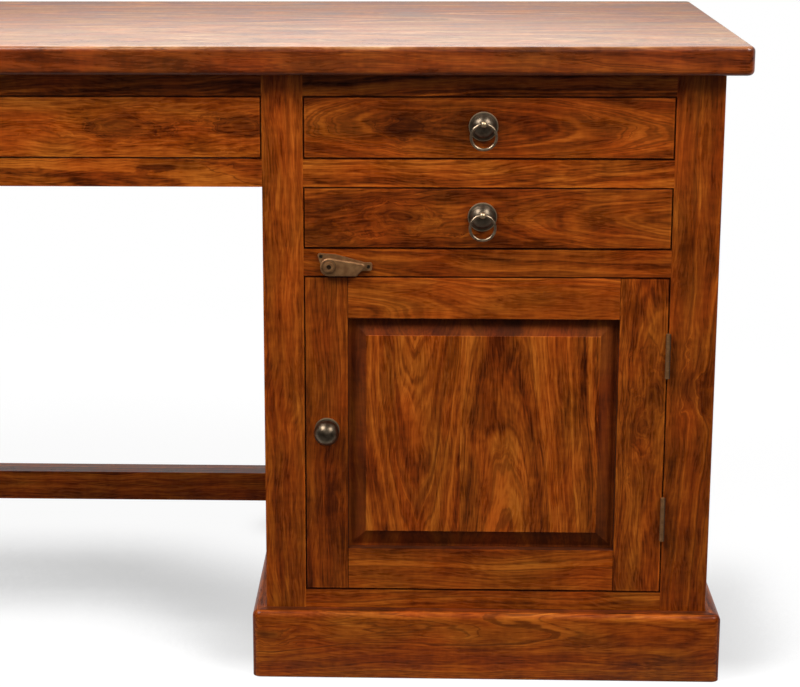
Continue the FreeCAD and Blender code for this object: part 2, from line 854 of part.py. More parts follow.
def rose_profile(sketch):
    """The knob's rose, thicker towards the middle, and the neck that runs into the ball."""
    rose = size.knob_rose_radius
    neck = size.knob_neck_radius
    rim = size.knob_rose_rim
    shoulder = size.knob_rose_thickness
    end = size.knob_reach - size.knob_radius
    add_polygon(sketch, ((ZERO, ZERO), (rose, ZERO), (rose, rim), (neck, shoulder), (neck, end), (ZERO, end)))


def make_door(hinge_recesses):
    """A framed door: tenoned rails between two stiles, round a raised and fielded panel."""
    left = opening_left + size.door_gap
    right = opening_right - size.door_gap
    low = door_sill + size.door_gap
    high = door_head - size.door_gap
    depth = (front_face, front_face + size.door_thickness)
    inner = (left + size.door_latch_stile, right - size.door_hinge_stile)
    inner_level = (low + size.door_bottom_rail, high - size.door_top_rail)
    panel = make_door_panel(inner, inner_level)
    tongues = []
    rails = {}
    for name, level in (("bottom", (low, inner_level[0])), ("top", (inner_level[1], high))):
        edge = size.door_edge_radius
        stock = rounded_board(f"door_{name}_stock", inner, depth, level, edge, front_lengthwise)
        tongue = board(
            f"door_{name}_tenons",
            (inner[0] - size.tenon_length, inner[1] + size.tenon_length),
            (depth[0] + size.tenon_shoulder, depth[1] - size.tenon_shoulder),
            (level[0] + size.tenon_shoulder, level[1] - size.tenon_shoulder),
        )
        tongues.append(tongue)
        rails[name] = fuse(f"door_{name}_tenoned", stock, tongue)
    knob, knob_hole = make_knob(left + size.door_latch_stile / 2, (low + high) / 2 + size.knob_rise)
    stiles = {
        "latch": ((left, inner[0]), [knob_hole]),
        "hinge": ((inner[1], right), hinge_recesses),
    }
    for name, (span, tools) in stiles.items():
        stock = rounded_board(
            f"door_{name}_stile_stock", span, depth, (low, high), size.door_edge_radius, front_upright
        )
        node(f"door_{name}_stile", cut(f"door_{name}_stile_worked", stock, panel, *tongues, *tools))
    for name, rail in rails.items():
        node(f"door_{name}_rail", cut(f"door_{name}_rail_grooved", rail, panel))
    node("door_panel", panel)
    node("door_knob", knob)


def make_door_panel(inner, level):
    """The panel's tongue, its bevelled border and the raised field, built up from the back."""
    tongue = size.panel_tongue_depth
    width = inner[1] - inner[0] + tongue * 2
    height = level[1] - level[0] + tongue * 2
    bevel_foot = tongue + size.panel_margin
    field = bevel_foot + size.panel_bevel_width
    bevel_top = size.panel_tongue_thickness + size.panel_bevel_rise
    body, sketch = body_with_sketch("fielded_panel")
    add_rectangle(sketch, width, height)
    pad(body, sketch, size.panel_tongue_thickness)
    foot = add_sketch(body, "bevel_foot", size.panel_tongue_thickness)
    add_rectangle(foot, width, height, bevel_foot)
    head = add_sketch(body, "bevel_head", bevel_top)
    add_rectangle(head, width, height, field)
    bevel = body.newObject("PartDesign::AdditiveLoft", "panel_bevel")
    bevel.Profile = foot
    bevel.Sections = [head]
    bevel.Ruled = True
    body.Tip = bevel
    doc.recompute()
    raised = add_sketch(body, "field_outline", bevel_top)
    add_rectangle(raised, width, height, field)
    pad(body, raised, size.panel_field_step)
    field_face = (bevel_top + size.panel_field_step).value - NEAR
    round_edges(body, size.panel_field_radius, lambda bounds: bounds.ZMin > field_face)
    back = front_face + size.panel_tongue_setback + size.panel_tongue_thickness
    place(body, inner[0] - tongue, back, level[0] - tongue, Rotation(Vector(1, 0, 0), 90))
    return body


def make_knob(x, z):
    """The ball knob with a stud into the stile, and the hole for that stud."""
    inwards = Vector(0, 1, 0)
    rose = turned("knob_rose", rose_profile)
    place(rose, x, front_face, z, Rotation(Vector(0, 0, 1), 180))
    ball = doc.addObject("Part::Sphere", "knob_ball")
    bind(ball, Radius=size.knob_radius)
    place(ball, x, front_face - size.knob_reach + size.knob_radius, z)
    stud = rod("knob_stud", size.knob_stud_radius, size.knob_stud_length, x, front_face, z, inwards)
    hole = rod(
        "knob_stud_hole",
        size.knob_stud_radius + size.stud_clearance,
        size.knob_stud_length + size.stud_clearance + size.overrun,
        x,
        front_face - size.overrun,
        z,
        inwards,
    )
    return fuse("knob_on_stud", rose, ball, stud), hole


def hinge_line():
    """Where the hinge pins stand: in the gap beside the door, just proud of the face."""
    return opening_right - size.door_gap / 2, front_face - size.knuckle_radius - size.face_clearance


def hinge_levels():
    return (door_sill + size.hinge_inset, door_head - size.hinge_inset)


def hinge_seats():
    """The hinges' recesses in the post, and those in the door's edge."""
    axis_x, _ = hinge_line()
    reach = size.leaf_play + size.leaf_thickness
    depth = (front_face - size.overrun, front_face + size.leaf_depth)
    in_post = []
    in_door = []
    for number, middle in enumerate(hinge_levels(), 1):
        level = (middle - size.hinge_length / 2, middle + size.hinge_length / 2)
        in_post.append(board(f"post_recess_{number}", (axis_x, axis_x + reach), depth, level))
        in_door.append(board(f"door_recess_{number}", (axis_x - reach, axis_x), depth, level))
    return in_post, in_door


def make_hinges():
    """Two butt hinges: a frame leaf with the end knuckles, a door leaf between them, and the pin."""
    axis_x, axis_y = hinge_line()
    near = size.leaf_play
    far = near + size.leaf_thickness
    into_post = Vector(1, 0, 0)
    sides = {
        "frame": ((axis_x + near, axis_x + far), range(0, KNUCKLE_COUNT, 2), axis_x + near, into_post),
        "door": ((axis_x - far, axis_x - near), range(1, KNUCKLE_COUNT, 2), axis_x - near, -into_post),
    }
    leaves = {side: [] for side in sides}
    pins = []
    for number, middle in enumerate(hinge_levels(), 1):
        low = middle - size.hinge_length / 2
        for side, layout in sides.items():
            leaves[side].append(make_leaf(f"{side}_leaf_{number}", low, *layout))
        pins.append(rod(f"pin_{number}", size.hinge_pin_radius, size.hinge_length, axis_x, axis_y, low))
    for side, pair in leaves.items():
        node(f"hinge_{side}_leaves", group(f"{side}_leaf_pair", pair))
    node("hinge_pins", group("pin_pair", pins))


def make_leaf(name, low, span, own_knuckles, screw_face, inwards):
    """One hinge leaf: a flat plate, a web out to each of its knuckles, the pin's bore and the screw holes."""
    axis_x, axis_y = hinge_line()
    pitch = (size.hinge_length + size.knuckle_gap) / KNUCKLE_COUNT
    knuckle = pitch - size.knuckle_gap
    clear_of_barrel = axis_y + size.knuckle_radius + size.knuckle_relief
    plate_depth = (clear_of_barrel, front_face + size.leaf_depth)
    pieces = [board(f"{name}_plate", span, plate_depth, (low, low + size.hinge_length))]
    for index in own_knuckles:
        start = low + pitch * index
        pieces.append(rod(f"{name}_knuckle_{index}", size.knuckle_radius, knuckle, axis_x, axis_y, start))
        web_depth = (axis_y, clear_of_barrel)
        pieces.append(board(f"{name}_web_{index}", span, web_depth, (start, start + knuckle)))
    bore = rod(
        f"{name}_bore",
        size.hinge_pin_radius + size.hinge_pin_clearance,
        size.hinge_length + size.overrun * 2,
        axis_x,
        axis_y,
        low - size.overrun,
    )
    holes = [
        screw_hole(
            f"{name}_screw_{number}",
            size.hinge_screw_head_radius,
            size.hinge_screw_shank_radius,
            size.leaf_thickness,
            screw_face,
            plate_depth[0] + (plate_depth[1] - plate_depth[0]) * depth_share,
            low + size.hinge_length * length_share,
            inwards,
        )
        for number, (length_share, depth_share) in enumerate(LEAF_SCREW_SHARES, 1)
    ]
    return cut(name, fuse(f"{name}_solid", *pieces), bore, *holes)


def outline(sketch, shares, length, height):
    add_polygon(sketch, [(length * x, height * y) for x, y in shares])


def pivot_point():
    """Where the latch lever turns, seen from the front."""
    return opening_left + size.latch_inset, door_head + size.latch_plate_lift + size.lever_height / 2


def make_pivot_bore():
    """The hole for the latch's rivet, through lever and plate and into the rail."""
    pivot_x, pivot_z = pivot_point()
    radius = size.pivot_radius + size.pivot_clearance
    start = front_face - size.pivot_depth * 2
    length = size.pivot_depth * 3 + size.stop_clearance
    return rod("pivot_bore", radius, length, pivot_x, start, pivot_z, Vector(0, 1, 0))


def make_latch(pivot_bore):
    """The latch on the rail above the door: a plate, a lever that turns on it and their rivet."""
    pivot_x, pivot_z = pivot_point()
    low = door_head + size.latch_plate_lift
    upright_plate = Rotation(Vector(1, 0, 0), 90)
    lever_back = front_face - size.latch_plate_thickness - size.lever_clearance
    lever_front = lever_back - size.lever_thickness
    boss_front = lever_front - size.lever_boss_height
    inwards = Vector(0, 1, 0)

    plate, sketch = body_with_sketch("plate_blank")
    outline(sketch, PLATE_SHARES, size.latch_plate_length, size.latch_plate_height)
    pad(plate, sketch, size.latch_plate_thickness)
    round_edges(plate, size.latch_plate_radius, upright)
    place(plate, pivot_x - size.latch_tail, front_face, low, upright_plate)

    lever, sketch = body_with_sketch("lever_blank")
    outline(sketch, LEVER_SHARES, size.lever_length, size.lever_height)
    pad(lever, sketch, size.lever_thickness)
    left_end = size.lever_end_radius.value
    round_edges(lever, size.lever_end_radius, lambda bounds: upright(bounds) and bounds.XMax < left_end)
    round_edges(lever, size.lever_tip_radius, lambda bounds: upright(bounds) and bounds.XMin > left_end * 2)
    face = size.lever_thickness.value - NEAR
    round_edges(lever, size.lever_edge_radius, lambda bounds: bounds.ZMin > face)
    place(lever, pivot_x - size.lever_end_radius, lever_back, low, upright_plate)
    boss = rod(
        "lever_boss",
        size.lever_boss_radius,
        size.lever_thickness + size.lever_boss_height,
        pivot_x,
        boss_front,
        pivot_z,
        inwards,
    )
    node("latch_lever", cut("lever_bored", fuse("lever_solid", lever, boss), pivot_bore))
    screw_holes = [
        screw_hole(
            f"plate_screw_{number}",
            size.plate_screw_head_radius,
            size.plate_screw_shank_radius,
            size.latch_plate_thickness,
            pivot_x - size.latch_tail + size.latch_plate_length * length_share,
            front_face - size.latch_plate_thickness,
            low + size.latch_plate_height * height_share,
            inwards,
        )
        for number, (length_share, height_share) in enumerate(PLATE_SCREW_SHARES, 1)
    ]
    node("latch_plate", cut("plate_bored", plate, pivot_bore, *screw_holes))

    head_back = boss_front - size.lever_clearance
    head_front = head_back - size.pivot_head_thickness
    shank_length = front_face + size.pivot_depth - head_back
    shank = rod("pivot_shank", size.pivot_radius, shank_length, pivot_x, head_back, pivot_z, inwards)
    front_centre = (pivot_x, head_front, pivot_z)
    head = rod("pivot_head", size.pivot_head_radius, size.pivot_head_thickness, *front_centre, inwards)
    dimple = rod("pivot_dimple", size.pivot_dimple_radius, size.pivot_dimple_depth, *front_centre, inwards)
    node("latch_pivot", cut("pivot_rivet", fuse("pivot_solid", shank, head), dimple))


make_top()
pivot_bore = make_pivot_bore()
rails = make_rails(pivot_bore)
panels = make_panels(rails)
post_recesses, door_recesses = hinge_seats()
rear_posts = make_posts(rails, panels, post_recesses)
make_cupboard_boards(rear_posts)
make_plinth()
make_runners()
make_stops()
make_blocks()
for opening in drawer_openings():
    make_drawer(*opening)
make_door(door_recesses)
make_hinges()
make_latch(pivot_bore)
doc.recompute()

failed = [thing.Name for thing in doc.Objects if "Invalid" in thing.State or "Error" in thing.State]
if failed:
    raise RuntimeError(f"these objects failed to build: {failed}")
for piece in nodes:
    if piece.Shape.isNull() or not piece.Shape.isValid():
        raise RuntimeError(f"{piece.Label} has no valid shape")
os.makedirs("parts", exist_ok=True)
for piece in nodes:
    piece.Shape.exportStep(f"parts/{piece.Label}.step")
print(f"{len(nodes)} pieces, {sum(len(piece.Shape.Solids) for piece in nodes)} solids")
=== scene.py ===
"""Finishes, screws, light and camera for the campaign desk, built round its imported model."""

import json
import math

import bpy
from mathutils import Matrix, Vector


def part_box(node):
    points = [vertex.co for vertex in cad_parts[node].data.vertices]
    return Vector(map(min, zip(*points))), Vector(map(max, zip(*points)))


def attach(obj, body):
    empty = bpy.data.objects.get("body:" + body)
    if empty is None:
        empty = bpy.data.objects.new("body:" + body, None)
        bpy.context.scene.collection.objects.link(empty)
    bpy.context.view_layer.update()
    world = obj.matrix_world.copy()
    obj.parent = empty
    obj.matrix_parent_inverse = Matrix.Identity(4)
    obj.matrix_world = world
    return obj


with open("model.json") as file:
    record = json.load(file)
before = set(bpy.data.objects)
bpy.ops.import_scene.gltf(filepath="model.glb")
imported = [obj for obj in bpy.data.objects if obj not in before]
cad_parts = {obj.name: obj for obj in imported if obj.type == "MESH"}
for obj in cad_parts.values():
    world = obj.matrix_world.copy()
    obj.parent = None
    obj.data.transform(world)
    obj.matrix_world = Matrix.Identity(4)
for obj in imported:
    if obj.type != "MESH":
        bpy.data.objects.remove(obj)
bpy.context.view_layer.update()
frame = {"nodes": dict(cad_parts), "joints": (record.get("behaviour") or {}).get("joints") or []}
scene = bpy.context.scene

AXES = {"x": Vector((1, 0, 0)), "y": Vector((0, 1, 0)), "z": Vector((0, 0, 1))}
JOINT_PLACES = {joint["name"]: joint.get("pos_m") for joint in frame["joints"]}
WHITE = (1, 1, 1, 1)

# Each wood from its dark veins to its light streaks.
TONES = (0.12, 0.3, 0.48, 0.66, 0.88)
ROSEWOOD = (
    (0.030, 0.0055, 0.0010, 1),
    (0.085, 0.0150, 0.0015, 1),
    (0.192, 0.0340, 0.0026, 1),
    (0.315, 0.0630, 0.0046, 1),
    (0.480, 0.1110, 0.0100, 1),
)
# The top's face in paler, less red tones: a painted sheen standing in for the pale reflection on its lacquer.
SHEEN_PALED_ROSEWOOD = (
    (0.066, 0.0165, 0.0038, 1),
    (0.140, 0.0400, 0.0090, 1),
    (0.250, 0.0930, 0.0280, 1),
    (0.390, 0.1820, 0.0800, 1),
    (0.560, 0.3150, 0.1750, 1),
)
INNER_WOOD = (
    (0.100, 0.0420, 0.0150, 1),
    (0.190, 0.0900, 0.0360, 1),
    (0.290, 0.1500, 0.0650, 1),
    (0.380, 0.2150, 0.1000, 1),
    (0.480, 0.2950, 0.1500, 1),
)
# What the wood's colour is multiplied by in its red and in its golden patches.
RED_PATCH = (1.04, 0.86, 0.75, 1)
GOLDEN_PATCH = (0.97, 1.16, 1.2, 1)


# Node trees

NOISE_MIDDLE = 0.5
# The Mix node has several inputs of the same name, so its colours are picked by number.
MIX_FIRST, MIX_SECOND, MIX_RESULT = 6, 7, 2


def add(tree, kind, inputs=(), **settings):
    """Adds a node, sets it up and fills its inputs, which are given in order or by name."""
    made = tree.nodes.new(kind)
    for name, value in settings.items():
        setattr(made, name, value)
    pairs = inputs.items() if isinstance(inputs, dict) else enumerate(inputs)
    for key, value in pairs:
        if isinstance(value, Flow):
            value = value.socket
        if isinstance(value, bpy.types.NodeSocket):
            tree.links.new(value, made.inputs[key])
        else:
            made.inputs[key].default_value = value
    return made


class Flow:
    """A number on its way through a node tree; arithmetic on it adds Math nodes to that tree."""

    def __init__(self, tree, socket):
        self.tree = tree
        self.socket = socket

    def calc(self, operation, *others):
        made = add(self.tree, "ShaderNodeMath", (self, *others), operation=operation)
        return Flow(self.tree, made.outputs[0])

    def __add__(self, other):
        return self.calc("ADD", other)

    def __sub__(self, other):
        return self.calc("SUBTRACT", other)

    def __mul__(self, other):
        return self.calc("MULTIPLY", other)

    def __truediv__(self, other):
        return self.calc("DIVIDE", other)

    def rise(self, low, high):
        """0 at low, 1 at high and a smooth change between them; low may be the larger number."""
        made = add(
            self.tree,
            "ShaderNodeMapRange",
            {"Value": self, "From Min": low, "From Max": high},
            interpolation_type="SMOOTHSTEP",
        )
        return Flow(self.tree, made.outputs[0])


def split(tree, vector):
    """A vector's three numbers."""
    parts = add(tree, "ShaderNodeSeparateXYZ", (vector,)).outputs
    return [Flow(tree, part) for part in parts]


def object_place(tree):
    return add(tree, "ShaderNodeTexCoord").outputs["Object"]


def noise(tree, place, scale, detail, seed):
    """A noise texture that changes as often in a metre as its scale says, different for each seed."""
    scaled = add(tree, "ShaderNodeVectorMath", (place, scale), operation="MULTIPLY").outputs[0]
    inputs = {"Vector": scaled, "W": seed, "Scale": 1.0, "Detail": detail}
    return add(tree, "ShaderNodeTexNoise", inputs, noise_dimensions="4D")


def cloud(tree, place, scale, detail, seed=0.0):
    """Cloudy noise around 0."""
    return Flow(tree, noise(tree, place, scale, detail, seed).outputs["Fac"]) - NOISE_MIDDLE


def line_noise(tree, place, detail):
    """Noise around 0 along one number."""
    inputs = {"W": place, "Scale": 1.0, "Detail": detail}
    made = add(tree, "ShaderNodeTexNoise", inputs, noise_dimensions="1D")
    return Flow(tree, made.outputs["Fac"]) - NOISE_MIDDLE


def drifts(tree, place, scale, seed):
    """Three slow noises around 0."""
    made = noise(tree, place, scale, detail=1.0, seed=seed)
    parts = add(tree, "ShaderNodeSeparateColor", (made.outputs["Color"],)).outputs
    return [Flow(tree, part) - NOISE_MIDDLE for part in parts]


def blend(tree, share, first, second, kind="MIX"):
    """The first colour, and the second, or its product with the first, where the share is 1."""
    inputs = {"Factor": share, MIX_FIRST: first, MIX_SECOND: second}
    made = add(tree, "ShaderNodeMix", inputs, data_type="RGBA", blend_type=kind)
    return made.outputs[MIX_RESULT]


def open_group(name, inputs, outputs):
    """A shader group with named sockets; gives the tree and its input values."""
    tree = bpy.data.node_groups.new(name, "ShaderNodeTree")
    for socket_name, default in inputs.items():
        kind = "NodeSocketFloat" if isinstance(default, float) else "NodeSocketVector"
        tree.interface.new_socket(socket_name, in_out="INPUT", socket_type=kind).default_value = default
    for socket_name in outputs:
        tree.interface.new_socket(socket_name, in_out="OUTPUT", socket_type="NodeSocketFloat")
    return tree, tree.nodes.new("NodeGroupInput").outputs


def new_material(name):
    material = bpy.data.materials.new(name)
    material.use_nodes = True
    tree = material.node_tree
    tree.nodes.clear()
    return material, tree


# The figure of the wood

# How often each variation changes in a metre along the grain, across the face and through the board.
DRIFT_SCALE = (2.6, 5.0, 5.0)
WAVER_SCALE = (11.0, 30.0, 30.0)
RIPPLE_SCALE = (9.0, 70.0, 70.0)
RAGGED_SCALE = (45.0, 80.0, 80.0)
FIBRE_SCALE = (42.0, 500.0, 500.0)
PORE_SCALE = (90.0, 1100.0, 1100.0)
SHIMMER_SCALE = (14.0, 38.0, 38.0)
CURL_SCALE = (150.0, 60.0, 60.0)
# How often the tone changes in a metre outwards from the pith.
BROAD_RINGS = 55.0
MIDDLE_RINGS = 190.0
FINE_RINGS = 620.0
# How far the slow variations move the rings, the fibres and the knots, in metres.
RING_WAVER = 0.009
RING_RIPPLE = 0.006
FIBRE_WAVER = 0.022
FIBRE_DRIFT = 0.04
KNOT_WAVER_ALONG = 0.07
KNOT_WAVER_ACROSS = 0.02
# A knot's outline, and how far it pushes the rings aside as a share of its reach.
SMALLEST_REACH = 0.0001
KNOT_RAGGEDNESS = 2.6
KNOT_FADE = 0.8
KNOT_PUSH = 1.1
# How strongly each variation lightens or darkens the wood.
BROAD_TONE = 0.7
MIDDLE_TONE = 0.5
FINE_TONE = 0.26
FINE_SHIMMER = 1.6
FIBRE_TONE = 0.62
SHIMMER_TONE = 0.65
CURL_TONE = 0.2
WEAR_HIGHLIGHT_TONE = 0.09
WEAR_HIGHLIGHT_SHARE = 0.8
WEAR_HIGHLIGHT_SHIMMER = 1.6
SIDE_SHADE_TONE = 0.6
KNOT_TONE = 0.04
KNOT_SPREAD = (0.1, 0.9)
MEAN_TONE = 0.5
RECESS_CALM = 1.7
# Where veins, pores and the hearts of knots lie in their noises, and how dark they are.
VEIN_WIDTH = (-0.035, -0.004)
VEIN_RINGS = (-0.1, 0.15)
VEIN_DARKNESS = 0.5
PORE_LEVEL = (0.16, 0.27)
PORE_DARKNESS = 0.4
KNOT_HEART = (0.2, 1.0)
# Where the painted shade in recesses and along edges, and the worn edges with their painted highlight, begin
# and end, in metres below the face or from an edge.
SUNK_FROM = -0.0006
RECESS_FADE = 0.004
EDGE_SHADE_LINE = (0.0009, 0.0004)
WEAR_HIGHLIGHT_EDGE = (0.003, 0.0012)
WEAR_HIGHLIGHT_DEPTH = (-0.0016, -0.0004)
FACE_DEPTH = (-0.005, -0.001)
# Where a face begins to be painted darker and made duller towards one side, a painted shade standing in for
# its reflection fading, and where it is most so, in half widths from its middle.
SIDE_SHADE_ACROSS = (-1.0, 0.9)
# Golden patches, gloss and relief.
GOLD_GRAIN = 0.25
GOLD_RANGE = (-0.3, 0.3)
BASE_ROUGHNESS = 0.3
FIBRE_ROUGHNESS = 0.16
SHIMMER_ROUGHNESS = 0.35
PORE_ROUGHNESS = 0.25
FIBRE_HEIGHT = 0.5
# What sets one plank of a board, and one board, apart from the next.
PLANK_SEED = 7.31
BOARD_SEED = 1.7

FIGURE_INPUTS = {
    "Board": (0, 0, 0),
    "Half Length": 1.0,
    "Half Width": 1.0,
    "Plank": 10.0,
    "Plank Shift": 0.0,
    "Pith Side": 0.02,
    "Pith Depth": 0.05,
    "Tilt": 0.03,
    "Bend": 0.0,
    "Wander": 0.03,
    "Knot Along": 0.0,
    "Knot Across": 0.0,
    "Knot Reach": 0.0,
    "Second Along": 0.0,
    "Second Across": 0.0,
    "Second Reach": 0.0,
    "Seed": 0.0,
    "Tone": 0.0,
    "Recess Shade": 0.0,
    "Recess From": 0.0015,
    "Recess To": 0.009,
    "Knot Darkness": 0.45,
    "Knot Roundness": 0.45,
    "Bands": 1.0,
    "Fibre": 1.0,
    "Painted Side Shade": 0.0,
    "Sunk Dullness": 0.0,
}
FIGURE_OUTPUTS = ("Tone", "Dark", "Gold", "Face", "Roughness", "Height")


def make_rosewood_figure():
    """Growth rings cut by a board: x runs along the grain, y across the face and z out of it."""
    tree, given = open_group("rosewood_figure", FIGURE_INPUTS, FIGURE_OUTPUTS)
    board = given["Board"]
    along, across, depth = split(tree, board)

    # Every second plank of a glued board is turned over.
    shifted = across - given["Plank Shift"]
    plank = (shifted / given["Plank"]).calc("ROUND")
    turn = (plank * math.pi).calc("COSINE")
    seed = plank * PLANK_SEED + given["Seed"]
    in_plank = shifted - plank * given["Plank"]

    # The distance from the pith.
    drift = drifts(tree, board, DRIFT_SCALE, seed)
    waver = drifts(tree, board, WAVER_SCALE, seed)
    side = in_plank - turn * given["Pith Side"] + drift[0] * given["Wander"] + waver[0] * RING_WAVER
    below = depth + given["Pith Depth"] + along * turn * given["Tilt"] + along * along * given["Bend"]
    below = below + drift[1] * given["Wander"] + waver[1] * RING_WAVER
    radius = (side * side + below * below).calc("SQRT")
    radius = radius + cloud(tree, board, RIPPLE_SCALE, detail=3.0, seed=seed) * RING_RIPPLE

    # Knots, which push the rings aside.
    ragged = cloud(tree, board, RAGGED_SCALE, detail=3.0, seed=seed)
    knots = []
    for name in ("Knot", "Second"):
        reach = Flow(tree, given[f"{name} Reach"]).calc("MAXIMUM", SMALLEST_REACH)
        from_knot = (along - given[f"{name} Along"] + waver[1] * KNOT_WAVER_ALONG) * given["Knot Roundness"]
        beside_knot = across - given[f"{name} Across"] + waver[0] * KNOT_WAVER_ACROSS
        distance = (from_knot * from_knot + beside_knot * beside_knot) / (reach * reach)
        knot = (distance * (ragged * KNOT_RAGGEDNESS + KNOT_FADE) * -1.0).calc("EXPONENT")
        radius = radius - knot * given[f"{name} Reach"] * KNOT_PUSH
        knots.append(knot)
    knot = knots[0].calc("MAXIMUM", knots[1])

    # Rings, flowing fibres, pores and the play of light across the grain.
    broad = line_noise(tree, radius * BROAD_RINGS + seed, detail=2.0)
    middle = line_noise(tree, radius * MIDDLE_RINGS + seed, detail=2.0)
    fine = line_noise(tree, radius * FINE_RINGS + seed, detail=1.0)
    flow_across = across + waver[2] * FIBRE_WAVER + drift[2] * FIBRE_DRIFT
    flow_depth = depth + waver[0] * FIBRE_WAVER
    flowing = add(tree, "ShaderNodeCombineXYZ", (along, flow_across, flow_depth)).outputs[0]
    fibre = cloud(tree, flowing, FIBRE_SCALE, detail=2.0, seed=seed)
    pores = cloud(tree, flowing, PORE_SCALE, detail=1.0, seed=seed)
    shimmer = cloud(tree, board, SHIMMER_SCALE, detail=3.0, seed=seed)
    curl = cloud(tree, board, CURL_SCALE, detail=2.0, seed=seed)

    # Painted shade in recesses and along edges, worn edges lightened as wear and as a painted highlight, and
    # painted shade towards one side of a face.
    recess_from, recess_to = (Flow(tree, given[name]) * -1.0 for name in ("Recess From", "Recess To"))
    shallow = depth.rise(recess_to - RECESS_FADE, recess_to)
    sunk = depth.rise(SUNK_FROM, recess_from) * shallow
    dull = sunk * given["Sunk Dullness"]
    calm = dull * -RECESS_CALM + 1.0
    to_end = Flow(tree, given["Half Length"]) - along.calc("ABSOLUTE")
    to_side = Flow(tree, given["Half Width"]) - across.calc("ABSOLUTE")
    to_edge = to_end.calc("MINIMUM", to_side)
    recess_shade = sunk.calc("MAXIMUM", to_edge.rise(*EDGE_SHADE_LINE) * shallow)
    # Edges lightened near their arrises, as wear and as a painted highlight.
    edge_wear_and_highlight = to_edge.rise(*WEAR_HIGHLIGHT_EDGE) * depth.rise(*WEAR_HIGHLIGHT_DEPTH) * (shimmer * WEAR_HIGHLIGHT_SHIMMER + WEAR_HIGHLIGHT_SHARE)
    # Painted shade towards one side of a face, darker and duller: the back of the top.
    side_shade = (across / given["Half Width"]).rise(*SIDE_SHADE_ACROSS) * given["Painted Side Shade"]

    # The tone, from the rings' bands down to single marks.
    fine_bands = fine * (shimmer * FINE_SHIMMER + FINE_TONE)
    bands = (broad * BROAD_TONE + middle * MIDDLE_TONE + fine_bands) * given["Bands"]
    tone = (bands + fibre * FIBRE_TONE * given["Fibre"]) * calm + shimmer * SHIMMER_TONE + curl * CURL_TONE
    tone = tone + given["Tone"] + recess_shade * given["Recess Shade"] + edge_wear_and_highlight * WEAR_HIGHLIGHT_TONE - side_shade * SIDE_SHADE_TONE
    tone = tone - knot.rise(*KNOT_SPREAD) * KNOT_TONE + MEAN_TONE
    vein = (middle.calc("ABSOLUTE") * -1.0).rise(*VEIN_WIDTH) * broad.rise(*VEIN_RINGS) * VEIN_DARKNESS
    pore = pores.rise(*PORE_LEVEL) * PORE_DARKNESS
    knot_heart = knot.rise(*KNOT_HEART) * given["Knot Darkness"]
    gold = waver[2] + fibre * GOLD_GRAIN + middle * GOLD_GRAIN
    gloss_change = fibre * FIBRE_ROUGHNESS + shimmer * SHIMMER_ROUGHNESS + pore * PORE_ROUGHNESS
    add(
        tree,
        "NodeGroupOutput",
        {
            "Tone": tone,
            "Dark": (vein.calc("MAXIMUM", pore) * calm).calc("MAXIMUM", knot_heart),
            "Gold": gold.rise(*GOLD_RANGE),
            "Face": depth.rise(*FACE_DEPTH),
            "Roughness": gloss_change + dull + side_shade + BASE_ROUGHNESS,
            "Height": fibre * FIBRE_HEIGHT - pore,
        },
    )
    return tree


# Boards

DRAWERS = ("upper", "lower", "centre")
# The boards that are left plain.
INNER_BOARDS = {"pedestal_runners", "kneehole_runners", "stop_blocks", "top_fixing_blocks"}
INNER_BOARDS |= {f"{drawer}_drawer_{part}" for drawer in DRAWERS for part in ("sides", "back", "bottom")}
# How strongly the lacquer shines, and the boards on which it differs.
INNER_GLOSS = 1.2
LACQUER_GLOSS = 1.21
GLOSS = {"desk_top": 1.38, "stretcher": 1.18, "plinth_sides": 1.12, "pedestal_left_panel": 1.16}
WOOD_RELIEF = {"Strength": 0.25, "Distance": 0.0004}
# A recess whose painted shade is darker than this is made duller too.
SHADED_RECESS = -0.1
SHADED_RECESS_DULLNESS = 0.4
# Painted shade in the gaps round the door and the drawers, on the faces inside them and along their edges.
GAP_SHADE = -0.34
# Painted shade in the corner where the plinth's ledge meets the pedestal.
LEDGE_SHADE = {"Recess Shade": -0.3, "Recess From": 0.017, "Recess To": 0.03}
